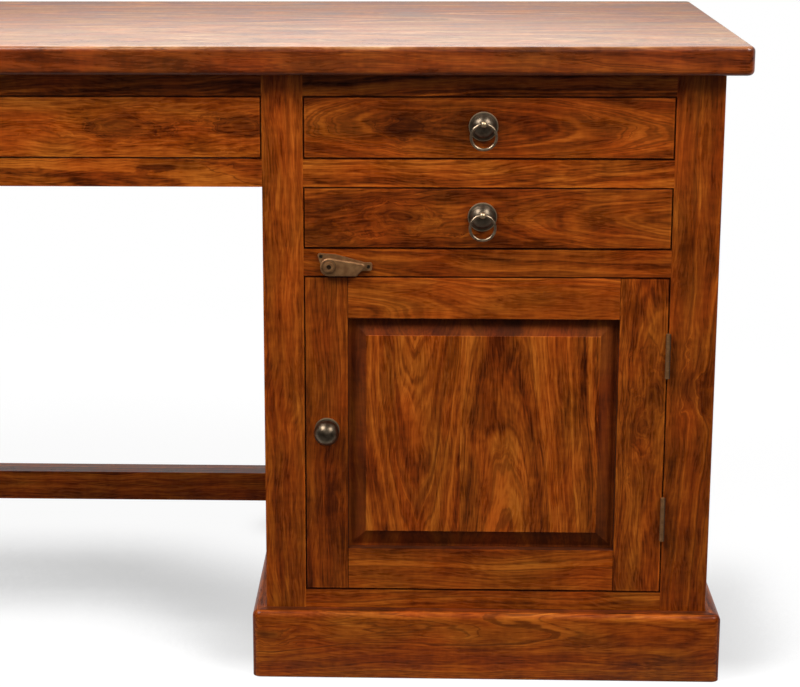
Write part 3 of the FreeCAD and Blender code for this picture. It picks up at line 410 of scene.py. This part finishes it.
# Each board's grain direction, the face that shows, and its own figure.
BOARDS = {
    "desk_top": (
        "x",
        "z",
        {
            "Plank": 0.126, "Pith Depth": 0.06, "Tilt": 0.05, "Bands": 0.72, "Fibre": 0.75, "Painted Side Shade": 0.3,
            "Recess Shade": -0.08, "Recess To": 0.05,
        },
    ),
    "pedestal_inner_post": ("z", "-y", {"Pith Side": 0.06, "Tone": 0.05, "Bands": 0.65, "Fibre": 1.2}),
    "pedestal_outer_post": (
        "z",
        "-y",
        {
            "Pith Side": -0.05, "Tone": -0.02, "Bands": 0.6, "Fibre": 0.85,
            "Knot Across": 0.006, "Knot Reach": 0.012,
            "Second Along": -0.01, "Second Across": -0.02, "Second Reach": 0.01,
        },
    ),
    "pedestal_rear_posts": ("z", "y", {"Pith Side": 0.04, "Bands": 0.7}),
    "leg_front": ("z", "-y", {"Pith Side": 0.05, "Bands": 0.7}),
    "leg_rear": ("z", "y", {"Pith Side": -0.05, "Bands": 0.7}),
    "pedestal_left_panel": ("z", "-x", {"Plank": 0.13, "Tilt": 0.08}),
    "pedestal_right_panel": ("z", "x", {"Plank": 0.13, "Tilt": 0.08}),
    "pedestal_back_panel": ("z", "y", {"Plank": 0.11, "Tilt": 0.07}),
    "pedestal_bottom_rail": ("x", "-y", {"Pith Side": 0.05, "Tone": 0.05, "Recess Shade": GAP_SHADE}),
    "pedestal_latch_rail": ("x", "-y", {"Pith Side": -0.04, "Tone": -0.02, "Recess Shade": GAP_SHADE}),
    "pedestal_drawer_rail": (
        "x",
        "-y",
        {"Pith Side": 0.05, "Tone": 0.12, "Bands": 1.3, "Fibre": 1.3, "Recess Shade": GAP_SHADE},
    ),
    "pedestal_top_rail": ("x", "-y", {"Pith Side": 0.05, "Tone": -0.1, "Recess Shade": GAP_SHADE}),
    "kneehole_lower_rail": (
        "x",
        "-y",
        {
            "Pith Side": -0.03, "Tone": 0.06, "Fibre": 1.4,
            "Knot Along": 0.262, "Knot Across": 0.009, "Knot Reach": 0.0064,
            "Knot Darkness": 0.5, "Knot Roundness": 0.18,
        },
    ),
    "kneehole_top_rail": ("x", "-y", {"Pith Side": 0.05, "Tone": -0.06, "Recess Shade": GAP_SHADE}),
    "kneehole_back_rail": ("x", "y", {"Pith Side": 0.03}),
    "leg_upper_rail": ("y", "-x", {"Pith Side": 0.03}),
    "leg_lower_rail": ("y", "-x", {"Pith Side": 0.04, "Tone": -0.1}),
    "stretcher": ("x", "-y", {"Pith Side": 0.05, "Tone": 0.01}),
    "plinth_front": (
        "x",
        "-y",
        {
            "Pith Side": 0.02, "Tone": 0.08, "Bands": 0.85, "Fibre": 1.1, **LEDGE_SHADE,
            "Knot Along": -0.272, "Knot Across": 0.01, "Knot Reach": 0.006, "Knot Darkness": 0.7,
        },
    ),
    "plinth_back": ("x", "y", {"Pith Side": 0.02, "Tone": 0.08, "Bands": 0.85, **LEDGE_SHADE}),
    "plinth_sides": ("y", "x", {"Pith Side": 0.02, "Tone": -0.06, "Bands": 0.85}),
    "cupboard_floor": ("x", "z", {"Plank": 0.12}),
    "cupboard_ceiling": ("x", "z", {"Plank": 0.12}),
    "cupboard_shelf": ("x", "z", {"Plank": 0.12}),
    "door_latch_stile": (
        "z",
        "-y",
        {"Pith Side": 0.05, "Tone": -0.06, "Bands": 0.8, "Recess Shade": GAP_SHADE},
    ),
    "door_hinge_stile": (
        "z",
        "-y",
        {
            "Pith Side": -0.01, "Tone": 0.02, "Fibre": 1.3, "Recess Shade": GAP_SHADE,
            "Knot Along": 0.055, "Knot Across": -0.014, "Knot Reach": 0.012,
            "Second Along": 0.012, "Second Across": 0.004, "Second Reach": 0.013,
        },
    ),
    "door_bottom_rail": ("x", "-y", {"Pith Side": 0.04, "Tone": 0.1, "Recess Shade": GAP_SHADE}),
    "door_top_rail": ("x", "-y", {"Pith Side": -0.02, "Tone": 0.1, "Tilt": 0.06, "Recess Shade": GAP_SHADE}),
    "door_panel": (
        "z",
        "-y",
        {
            "Plank": 0.16, "Plank Shift": -0.054, "Pith Side": 0.029, "Tilt": 0.1, "Wander": 0.02,
            "Tone": 0.09, "Bands": 1.1, "Fibre": 1.3, "Recess Shade": -0.19,
        },
    ),
    "upper_drawer_front": (
        "x",
        "-y",
        {
            "Pith Side": 0.0, "Pith Depth": 0.03, "Tilt": 0.0, "Bend": 0.3, "Tone": -0.05, "Fibre": 0.85,
            "Recess Shade": GAP_SHADE, "Knot Along": -0.092, "Knot Reach": 0.011,
        },
    ),
    "lower_drawer_front": (
        "x",
        "-y",
        {
            "Pith Side": 0.0, "Pith Depth": 0.035, "Tilt": -0.06, "Tone": -0.01, "Recess Shade": GAP_SHADE,
            "Knot Along": -0.109, "Knot Across": 0.004, "Knot Reach": 0.013,
            "Second Along": -0.195, "Second Across": -0.024, "Second Reach": 0.012,
        },
    ),
    "centre_drawer_front": (
        "x",
        "-y",
        {
            "Pith Side": 0.0, "Pith Depth": 0.03, "Tilt": 0.0, "Tone": 0.14, "Bands": 1.2, "Fibre": 1.4,
            "Recess Shade": GAP_SHADE, "Knot Along": 0.345, "Knot Reach": 0.014,
            "Second Along": 0.214, "Second Reach": 0.014,
        },
    ),
    "pedestal_runners": ("y", "z", {}),
    "kneehole_runners": ("y", "z", {}),
    "stop_blocks": ("x", "z", {}),
    "top_fixing_blocks": ("x", "z", {}),
}
for drawer in DRAWERS:
    BOARDS[f"{drawer}_drawer_sides"] = ("y", "x", {})
    BOARDS[f"{drawer}_drawer_back"] = ("x", "y", {})
    BOARDS[f"{drawer}_drawer_bottom"] = ("x", "z", {"Plank": 0.1})


def board_place(node, grain, face):
    """Where a board's figure is measured from, how it is turned, and half the length and width of the face.

    The place is the middle of the face that shows, with x along the grain and z out of the face.
    """
    low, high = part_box(node)
    half = (high - low) / 2
    outwards = AXES[face[-1]] * (-1 if face[0] == "-" else 1)
    lengthwise = AXES[grain]
    sideways = outwards.cross(lengthwise)
    origin = (low + high) / 2 + outwards * abs(outwards.dot(half))
    turned = Matrix((lengthwise, sideways, outwards)).transposed()
    return origin, turned.to_euler(), abs(lengthwise.dot(half)), abs(sideways.dot(half))


def toned(tree, tone, palette):
    """A wood's colours, spread over its tones."""
    ramp = add(tree, "ShaderNodeValToRGB", (tone,))
    stops = ramp.color_ramp.elements
    stops[0].position, stops[0].color = TONES[0], palette[0]
    stops[1].position, stops[1].color = TONES[-1], palette[-1]
    for place, colour in zip(TONES[1:-1], palette[1:-1]):
        stops.new(place).color = colour
    return ramp.outputs["Color"]


def make_wood(node, grain, face, own_figure, seed, rosewood_figure):
    """Satin-lacquered rosewood for a board that shows, or plain inner wood for one that doesn't."""
    inner = node in INNER_BOARDS
    palette = INNER_WOOD if inner else ROSEWOOD
    material, tree = new_material(f"{'inner_wood' if inner else 'rosewood'}_{node}")
    origin, turned, half_length, half_width = board_place(node, grain, face)
    figure = {"Seed": seed, "Half Length": half_length, "Half Width": half_width, **own_figure}
    if figure.get("Recess Shade", 0) < SHADED_RECESS:
        figure["Sunk Dullness"] = SHADED_RECESS_DULLNESS
    on_board = {"Vector": object_place(tree), "Location": origin, "Rotation": turned}
    mapped = add(tree, "ShaderNodeMapping", on_board, vector_type="TEXTURE")
    wood = add(tree, "ShaderNodeGroup", node_tree=rosewood_figure)
    tree.links.new(mapped.outputs[0], wood.inputs["Board"])
    for name, value in figure.items():
        wood.inputs[name].default_value = value
    colour = toned(tree, wood.outputs["Tone"], palette)
    # The top's face takes the paler tones, a painted sheen.
    if node == "desk_top":
        sheen_paled = toned(tree, wood.outputs["Tone"], SHEEN_PALED_ROSEWOOD)
        colour = blend(tree, wood.outputs["Face"], colour, sheen_paled)
    patch = blend(tree, wood.outputs["Gold"], RED_PATCH, GOLDEN_PATCH)
    colour = blend(tree, 1.0, colour, patch, "MULTIPLY")
    bump = add(tree, "ShaderNodeBump", {"Height": wood.outputs["Height"], **WOOD_RELIEF})
    lacquer = add(
        tree,
        "ShaderNodeBsdfPrincipled",
        {
            "Base Color": blend(tree, wood.outputs["Dark"], colour, palette[0]),
            "Roughness": wood.outputs["Roughness"],
            "Normal": bump.outputs[0],
            "IOR": INNER_GLOSS if inner else GLOSS.get(node, LACQUER_GLOSS),
        },
    )
    add(tree, "ShaderNodeOutputMaterial", {"Surface": lacquer.outputs[0]})
    return material


def finish_boards():
    rosewood_figure = make_rosewood_figure()
    for number, (node, (grain, face, own_figure)) in enumerate(BOARDS.items()):
        wood = make_wood(node, grain, face, own_figure, number * BOARD_SEED, rosewood_figure)
        frame["nodes"][node].material_slots[0].material = wood


# Fittings

# Each metal's dark patina, its colour where that has worn through, and its surface.
BRASS = {
    "dark": (0.20, 0.085, 0.030, 1),
    "light": (0.34, 0.17, 0.065, 1),
    "metallic": 0.55,
    "roughness": 0.42,
}
BRONZE = {
    "dark": (0.07, 0.048, 0.030, 1),
    "light": (0.168, 0.128, 0.086, 1),
    "metallic": 1.0,
    "roughness": 0.36,
}
BOSS_BRONZE = {**BRONZE, "metallic": 0.85}
RING_BRONZE = {
    "dark": (0.17, 0.118, 0.072, 1),
    "light": (0.36, 0.262, 0.168, 1),
    "metallic": 0.85,
    "roughness": 0.3,
}
# The colour of the painted shade on the hinges and the latch, and of the pulls' and knob's lightened places,
# which are wear and painted highlight, and how fully each covers.
METAL_SHADE_COLOUR = (0.018, 0.010, 0.005, 1)
WEAR_AND_HIGHLIGHT_METAL = (0.50, 0.36, 0.21, 1)
METAL_SHADE_COVER = 0.85
WEAR_AND_HIGHLIGHT_COVER = 0.9
# How often the worn patches and the casting's grain change in a metre, and how they show.
PATCH_SCALE = (160.0, 160.0, 160.0)
CASTING_SCALE = (1500.0, 1500.0, 1500.0)
CASTING_SHARE = 0.4
WORN_THROUGH = (-0.25, 0.3)
PATCH_ROUGHNESS = 0.2
METAL_RELIEF = {"Strength": 0.15, "Distance": 0.0003}
# The line of the hinge pins, and how far from the lit line down the knuckles the painted shade on their sides
# begins and ends.
HINGE_X = JOINT_PLACES["door_swing"][0]
KNUCKLE_LIT_LINE = HINGE_X - 0.0006
KNUCKLE_SHADE = (0.0012, 0.003)
# The latch's pivot, and the painted shade in the corner round its boss and in its rivet.
PIVOT_X, _, PIVOT_Z = JOINT_PLACES["latch_turn"]
PIVOT_CORNER = 0.0079
CORNER_SHADE = (0.0012, 0.0003)
CORNER_COVER = 0.5
RIVET_SHADE = (0.0034, 0.0022)
# A pull's eye, measured from the middle of its front, lightened as wear from the ring and as a painted
# highlight, and the rims of its flange and of the knob's rose, lightened as painted highlights.
EYE_RADIUS = 0.0038
EYE_RISE = 0.0045
EYE_SHINE = (0.0048, 0.004)
FLANGE_SHINE = (0.0155, 0.0168)
FLANGE_COVER = 0.8
ROSE_SHINE = (0.0132, 0.0146)
ROSE_DEPTH = (0.0255, 0.0262)


def pivot_painted_shade(tree, place):
    """Painted shade in the corner round the latch's boss and in its rivet."""
    x, _, z = split(tree, place)
    sideways = x - PIVOT_X
    upwards = z - PIVOT_Z
    radius = (sideways * sideways + upwards * upwards).calc("SQRT")
    corner = (radius - PIVOT_CORNER).calc("ABSOLUTE").rise(*CORNER_SHADE)
    return (corner * CORNER_COVER).calc("MAXIMUM", radius.rise(*RIVET_SHADE))


def knuckle_side_shade(tree, place):
    """Painted shade along both sides of the hinges' knuckles."""
    x, _, _ = split(tree, place)
    return (x - KNUCKLE_LIT_LINE).calc("ABSOLUTE").rise(*KNUCKLE_SHADE)


def from_front(tree, place, fitting):
    """Distances from the middle of a turned fitting's front: sideways, inwards, upwards and from its axis."""
    low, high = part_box(fitting)
    front = ((low.x + high.x) / 2, low.y, (low.z + high.z) / 2)
    offset = add(tree, "ShaderNodeVectorMath", (place, front), operation="SUBTRACT").outputs[0]
    sideways, inwards, upwards = split(tree, offset)
    return sideways, inwards, upwards, (sideways * sideways + upwards * upwards).calc("SQRT")


def pull_wear_and_highlight(boss):
    """Gives where a pull is lightened: its eye by the ring, as wear and as a painted highlight, and the rim
    of its flange, as a painted highlight.
    """

    def wear_and_highlight(tree, place):
        sideways, inwards, upwards, from_axis = from_front(tree, place, boss)
        behind = inwards - EYE_RADIUS
        above = upwards - EYE_RISE
        from_eye = (sideways * sideways + behind * behind + above * above).calc("SQRT")
        return from_eye.rise(*EYE_SHINE).calc("MAXIMUM", from_axis.rise(*FLANGE_SHINE) * FLANGE_COVER)

    return wear_and_highlight


def knob_rose_highlight(tree, place):
    """The rim of the knob's rose, lightened as a painted highlight."""
    _, inwards, _, from_axis = from_front(tree, place, "door_knob")
    return from_axis.rise(*ROSE_SHINE) * inwards.rise(*ROSE_DEPTH)


def make_metal(name, dark, light, metallic, roughness, painted_shade=None, wear_and_highlight=None):
    """Cast metal with a dark patina that has worn through in patches."""
    material, tree = new_material(name)
    place = object_place(tree)
    patches = cloud(tree, place, PATCH_SCALE, detail=4.0)
    casting = cloud(tree, place, CASTING_SCALE, detail=2.0)
    colour = blend(tree, (patches + casting * CASTING_SHARE).rise(*WORN_THROUGH), dark, light)
    # Painted shade where the given mask says.
    if painted_shade:
        colour = blend(tree, painted_shade(tree, place) * METAL_SHADE_COVER, colour, METAL_SHADE_COLOUR)
    # Lightened as wear and as a painted highlight where the given mask says.
    if wear_and_highlight:
        colour = blend(tree, wear_and_highlight(tree, place) * WEAR_AND_HIGHLIGHT_COVER, colour, WEAR_AND_HIGHLIGHT_METAL)
    bump = add(tree, "ShaderNodeBump", {"Height": casting, **METAL_RELIEF})
    cast = add(
        tree,
        "ShaderNodeBsdfPrincipled",
        {
            "Base Color": colour,
            "Metallic": metallic,
            "Roughness": patches * PATCH_ROUGHNESS + roughness,
            "Normal": bump.outputs[0],
        },
    )
    add(tree, "ShaderNodeOutputMaterial", {"Surface": cast.outputs[0]})
    return material


def finish_metals():
    """Gives each fitting its finish."""
    latch_brass = make_metal("latch_brass_finish", **BRASS, painted_shade=pivot_painted_shade)
    hinge_brass = make_metal("hinge_brass_finish", **BRASS, painted_shade=knuckle_side_shade)
    ring_bronze = make_metal("ring_bronze_finish", **RING_BRONZE)
    knob_bronze = make_metal("knob_bronze_finish", **BRONZE, wear_and_highlight=knob_rose_highlight)
    for name, node in frame["nodes"].items():
        slot = node.material_slots[0]
        if name.startswith("latch_"):
            slot.material = latch_brass
        elif name.startswith("hinge_"):
            slot.material = hinge_brass
        elif name.endswith("_pull_ring"):
            slot.material = ring_bronze
        elif name.endswith("_pull_boss"):
            slot.material = make_metal(f"{name}_finish", **BOSS_BRONZE, wear_and_highlight=pull_wear_and_highlight(name))
        elif name == "door_knob":
            slot.material = knob_bronze


# Camera and light

# The camera's place in metres, its turns in radians, and its lens in millimetres.
CAMERA_PLACE = (0.3231, -2.74659, 1.02255)
CAMERA_YAW = -0.0413
CAMERA_PITCH = 0.24136
CAMERA_ROLL = 0.00365
SENSOR_WIDTH = 36
FOCAL_LENGTH = 96.132
LENS_SHIFT = 0.0813
# Each softbox's place, width in metres and power in watts, and the point that all of them face.
SOFTBOXES = {
    "left_softbox": ((-0.96, -1.0, 2.3), 1.1, 70),
    "right_softbox": ((1.73, -1.28, 2.25), 1.1, 54),
    "back_softbox": ((0.1, 1.4, 2.2), 1.4, 25),
    "front_fill": ((0.2, -4.2, 2.2), 2.5, 10),
}
LIT_POINT = (0.4, -0.28, 0.45)
# The studio: what gloss sees on its unlit side, where that side ends, and the light it spreads.
UNLIT_GLOSS = 0.05
UNLIT_SIDE = (-0.25, 0.3)
STUDIO_LIGHT = 0.1
# The floor: its half width and its drop below the feet, where it fades and is lit, and its brightness.
FLOOR_HALF = 30.0
FLOOR_DROP = 0.0005
FLOOR_FADE = (1.0, 2.0)
FLOOR_UNLIT = (-0.5, -0.3)
FLOOR_PAINT = (0.1, 0.1, 0.1, 1)
FLOOR_GLOW = 0.915
FLOOR_LIGHT = 0.25
# How far the floor looks for what stands above it, around it and close by.
OPEN_REACHES = (0.8, 0.25, 0.07)
OPEN_SAMPLES = 12
# The shade in the kneehole: its right edge, how covered the floor is there, its front, back and depth.
KNEEHOLE_EDGE = (0.3, 0.15)
KNEEHOLE_COVER = (0.68, 0.56)
SHADE_FRONT = (-0.14, 0.05)
SHADE_BACK = (0.27, 0.05)
KNEEHOLE_SHADE = 0.46
# How far the shade comes forwards where something stands near, and what that does to its depth and back.
SHADE_SHIFT = 0.45
SHIFT_WHERE_OPEN = -0.5
SHIFT_THINNING = -0.5
BACK_SHIFT = 0.5
# The shade beside and behind the plinth.
BESIDE_COVER = (0.84, 0.68)
BESIDE_FRONT = (-0.31, -0.22)
BESIDE_SHADE = 0.29
BEHIND_COVER = (1.0, 0.55)
BEHIND_FRONT = (0.2, 0.31)
BEHIND_SHADE = 0.35


def make_camera():
    """Looks from in front of the pedestal, a little left of its middle, and down on the top."""
    data = bpy.data.cameras.new("camera")
    data.sensor_width = SENSOR_WIDTH
    data.lens = FOCAL_LENGTH
    data.shift_x = LENS_SHIFT
    camera = bpy.data.objects.new("camera", data)
    yaw = Matrix.Rotation(-CAMERA_YAW, 4, "Z")
    pitch = Matrix.Rotation(math.pi / 2 - CAMERA_PITCH, 4, "X")
    roll = Matrix.Rotation(-CAMERA_ROLL, 4, "Z")
    camera.matrix_world = Matrix.Translation(CAMERA_PLACE) @ yaw @ pitch @ roll
    scene.collection.objects.link(camera)
    scene.camera = camera


def seen(tree, lit):
    """1 for rays that show the surroundings, and less for gloss that looks to the unlit side in front."""
    rays = add(tree, "ShaderNodeLightPath").outputs
    camera = Flow(tree, rays["Is Camera Ray"])
    glossy = Flow(tree, rays["Is Glossy Ray"]) * (lit * (1 - UNLIT_GLOSS) + UNLIT_GLOSS)
    return camera.calc("MAXIMUM", glossy).calc("MAXIMUM", rays["Is Transmission Ray"])


def lighting(tree):
    """1 for rays that carry light from one surface to the next."""
    return Flow(tree, add(tree, "ShaderNodeLightPath").outputs["Is Diffuse Ray"])


def make_world():
    world = bpy.data.worlds.new("studio")
    scene.world = world
    world.use_nodes = True
    tree = world.node_tree
    tree.nodes.clear()
    _, backwards, _ = split(tree, add(tree, "ShaderNodeTexCoord").outputs["Generated"])
    strength = seen(tree, backwards.rise(*UNLIT_SIDE)).calc("MAXIMUM", lighting(tree) * STUDIO_LIGHT)
    backdrop = add(tree, "ShaderNodeBackground", {"Color": WHITE, "Strength": strength})
    add(tree, "ShaderNodeOutputWorld", {"Surface": backdrop.outputs[0]})


def openness(tree, reach):
    """1 where nothing stands within reach of the floor, and less where something does."""
    made = add(tree, "ShaderNodeAmbientOcclusion", {"Distance": reach}, samples=OPEN_SAMPLES)
    return Flow(tree, made.outputs["AO"])


def floor_shade(tree, sideways, depth):
    """How much of the floor's glow is taken away as a painted shadow of the desk, from how covered each point
    is and where it lies: in the kneehole, and beside and behind the plinth.
    """
    open_above, open_around, open_close = (openness(tree, reach) for reach in OPEN_REACHES)
    kneehole = sideways.rise(*KNEEHOLE_EDGE) * open_above.rise(*KNEEHOLE_COVER)
    shift = open_around * SHIFT_WHERE_OPEN + SHADE_SHIFT
    kneehole_shade = kneehole * (shift * SHIFT_THINNING + KNEEHOLE_SHADE)
    below_desk = (depth + shift).rise(*SHADE_FRONT) * kneehole_shade
    beside_plinth = open_around.rise(*BESIDE_COVER) * depth.rise(*BESIDE_FRONT) * BESIDE_SHADE
    shade = below_desk.calc("MAXIMUM", beside_plinth) * (depth + shift * BACK_SHIFT).rise(*SHADE_BACK)
    behind_plinth = open_close.rise(*BEHIND_COVER) * depth.rise(*BEHIND_FRONT) * BEHIND_SHADE
    return shade.calc("MAXIMUM", behind_plinth)


def make_floor_finish():
    material, tree = new_material("studio_floor")
    place = object_place(tree)
    sideways, depth, _ = split(tree, place)
    away = Flow(tree, add(tree, "ShaderNodeVectorMath", (place,), operation="LENGTH").outputs["Value"])
    showing = seen(tree, depth.rise(*FLOOR_UNLIT))
    paint = add(tree, "ShaderNodeBsdfDiffuse", {"Color": FLOOR_PAINT})
    strength = showing * (floor_shade(tree, sideways, depth) * -FLOOR_GLOW + FLOOR_GLOW)
    glow = add(tree, "ShaderNodeEmission", {"Color": WHITE, "Strength": strength})
    near = add(tree, "ShaderNodeAddShader", (paint.outputs[0], glow.outputs[0]))
    spread = showing.calc("MAXIMUM", lighting(tree) * FLOOR_LIGHT)
    white = add(tree, "ShaderNodeEmission", {"Color": WHITE, "Strength": spread})
    mixed = add(tree, "ShaderNodeMixShader", (away.rise(*FLOOR_FADE), near.outputs[0], white.outputs[0]))
    add(tree, "ShaderNodeOutputMaterial", {"Surface": mixed.outputs[0]})
    return material


def make_floor():
    """A white studio floor that glows, with the desk's shadow painted into its glow and a little real shadow
    on its dim paint; it fades to plain white further off.
    """
    corners = [(-1, -1), (1, -1), (1, 1), (-1, 1)]
    mesh = bpy.data.meshes.new("floor")
    mesh.from_pydata([(x * FLOOR_HALF, y * FLOOR_HALF, -FLOOR_DROP) for x, y in corners], [], [(0, 1, 2, 3)])
    mesh.materials.append(make_floor_finish())
    floor = bpy.data.objects.new("floor", mesh)
    scene.collection.objects.link(floor)


def make_lights():
    for name, (place, width, power) in SOFTBOXES.items():
        data = bpy.data.lights.new(name, "AREA")
        data.shape = "SQUARE"
        data.size = width
        data.energy = power
        lamp = bpy.data.objects.new(name, data)
        aim = Vector(LIT_POINT) - Vector(place)
        lamp.matrix_world = Matrix.Translation(place) @ aim.to_track_quat("-Z", "Y").to_matrix().to_4x4()
        scene.collection.objects.link(lamp)


# Screws

# A screw's sizes in metres, and what is smaller on the latch plate's screws.
SCREW_SIZES = {
    "Head Radius": 0.0026,
    "Shank Radius": 0.0015,
    "Head Depth": 0.0011,
    "Slot Width": 0.0007,
    "Slot Depth": 0.0005,
}
PLATE_SCREW_SIZES = {"Head Radius": 0.0021, "Shank Radius": 0.0013}
HEAD_SIDES = 28
# The length of the slot's cutter in head radii, and the angles at which the slots stop, in radians.
CUTTER_LENGTH = 2.2
FIRST_SLOT_TURN = 0.4
NEXT_SLOT_TURN = 1.15
# The countersinks, as in the model: the hinges' middles, places on a leaf and on the latch plate, and how
# far below the metal's face the heads sit.
HINGE_LEVELS = (0.2025, 0.4045)
LEAF_SCREWS = ((-0.018, -0.28118), (0.0, -0.27584), (0.018, -0.28118))
LEAF_SINK = 0.00015
PLATE_FACE = -0.291
PLATE_SCREWS = ((0.20538, 0.52252), (0.26128, 0.51037))
PLATE_SINK = 0.0001


def make_screw_tree(metal):
    """Slotted countersunk heads, one on each point, sunk from the point along its outward direction."""
    tree = bpy.data.node_groups.new("slotted_screws", "GeometryNodeTree")
    tree.interface.new_socket("Geometry", in_out="INPUT", socket_type="NodeSocketGeometry")
    for name, default in SCREW_SIZES.items():
        tree.interface.new_socket(name, in_out="INPUT", socket_type="NodeSocketFloat").default_value = default
    tree.interface.new_socket("Geometry", in_out="OUTPUT", socket_type="NodeSocketGeometry")
    given = tree.nodes.new("NodeGroupInput").outputs
    head = add(
        tree,
        "GeometryNodeMeshCone",
        {
            "Vertices": HEAD_SIDES,
            "Radius Top": given["Head Radius"],
            "Radius Bottom": given["Shank Radius"],
            "Depth": given["Head Depth"],
        },
    )
    drop = add(tree, "ShaderNodeCombineXYZ", {"Z": Flow(tree, given["Head Depth"]) * -1.0})
    sunk = add(tree, "GeometryNodeTransform", {"Geometry": head.outputs[0], "Translation": drop.outputs[0]})
    slot_length = Flow(tree, given["Head Radius"]) * CUTTER_LENGTH
    slot_height = Flow(tree, given["Slot Depth"]) * 2.0
    slot_size = add(tree, "ShaderNodeCombineXYZ", (slot_length, given["Slot Width"], slot_height))
    slot = add(tree, "GeometryNodeMeshCube", {"Size": slot_size.outputs[0]})
    cut = add(tree, "GeometryNodeMeshBoolean", operation="DIFFERENCE", solver="EXACT")
    tree.links.new(sunk.outputs[0], cut.inputs["Mesh 1"])
    tree.links.new(slot.outputs[0], cut.inputs["Mesh 2"])
    outward = add(tree, "GeometryNodeInputNamedAttribute", {"Name": "outward"}, data_type="FLOAT_VECTOR")
    slot_turn = add(tree, "GeometryNodeInputNamedAttribute", {"Name": "slot_turn"}, data_type="FLOAT")
    facing = add(tree, "FunctionNodeAlignRotationToVector", {"Vector": outward.outputs[0]}, axis="Z")
    turn = add(tree, "FunctionNodeAxisAngleToRotation", {"Axis": (0, 0, 1), "Angle": slot_turn.outputs[0]})
    both = (facing.outputs[0], turn.outputs[0])
    turned = add(tree, "FunctionNodeRotateRotation", both, rotation_space="LOCAL")
    spread = add(
        tree,
        "GeometryNodeInstanceOnPoints",
        {"Points": given["Geometry"], "Instance": cut.outputs[0], "Rotation": turned.outputs[0]},
    )
    real = add(tree, "GeometryNodeRealizeInstances", (spread.outputs[0],))
    finished = add(tree, "GeometryNodeSetMaterial", {"Geometry": real.outputs[0], "Material": metal})
    add(tree, "NodeGroupOutput", (finished.outputs[0],))
    return tree


def make_screws(name, tree, points, outward, body, own_sizes):
    """One mesh of screws for a body; each slot stops at its own angle."""
    mesh = bpy.data.meshes.new(name)
    mesh.from_pydata(points, [], [])
    mesh.attributes.new("outward", "FLOAT_VECTOR", "POINT")
    mesh.attributes.new("slot_turn", "FLOAT", "POINT")
    for number in range(len(points)):
        mesh.attributes["outward"].data[number].vector = outward
        mesh.attributes["slot_turn"].data[number].value = FIRST_SLOT_TURN + number * NEXT_SLOT_TURN
    base = bpy.data.objects.new(f"{name}_points", mesh)
    scene.collection.objects.link(base)
    modifier = base.modifiers.new("screws", "NODES")
    modifier.node_group = tree
    for socket in tree.interface.items_tree:
        if socket.name in own_sizes:
            modifier[socket.identifier] = own_sizes[socket.name]
    evaluated = base.evaluated_get(bpy.context.evaluated_depsgraph_get())
    finished = bpy.data.meshes.new_from_object(evaluated)
    finished.name = name
    bpy.data.objects.remove(base)
    screws = bpy.data.objects.new(name, finished)
    scene.collection.objects.link(screws)
    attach(screws, body)


def fit_screws():
    tree = make_screw_tree(make_metal("dark_bronze_finish", **BRONZE))
    leaf_places = [(depth, middle + rise) for middle in HINGE_LEVELS for rise, depth in LEAF_SCREWS]
    frame_side = [(HINGE_X + LEAF_SINK, depth, height) for depth, height in leaf_places]
    door_side = [(HINGE_X - LEAF_SINK, depth, height) for depth, height in leaf_places]
    plate = [(x, PLATE_FACE + PLATE_SINK, z) for x, z in PLATE_SCREWS]
    make_screws("hinge_frame_screws", tree, frame_side, (-1, 0, 0), "carcass", {})
    make_screws("hinge_door_screws", tree, door_side, (1, 0, 0), "door", {})
    make_screws("latch_plate_screws", tree, plate, (0, -1, 0), "carcass", PLATE_SCREW_SIZES)


scene.view_settings.view_transform = "Standard"
make_camera()
make_world()
make_floor()
make_lights()
finish_boards()
finish_metals()
fit_screws()
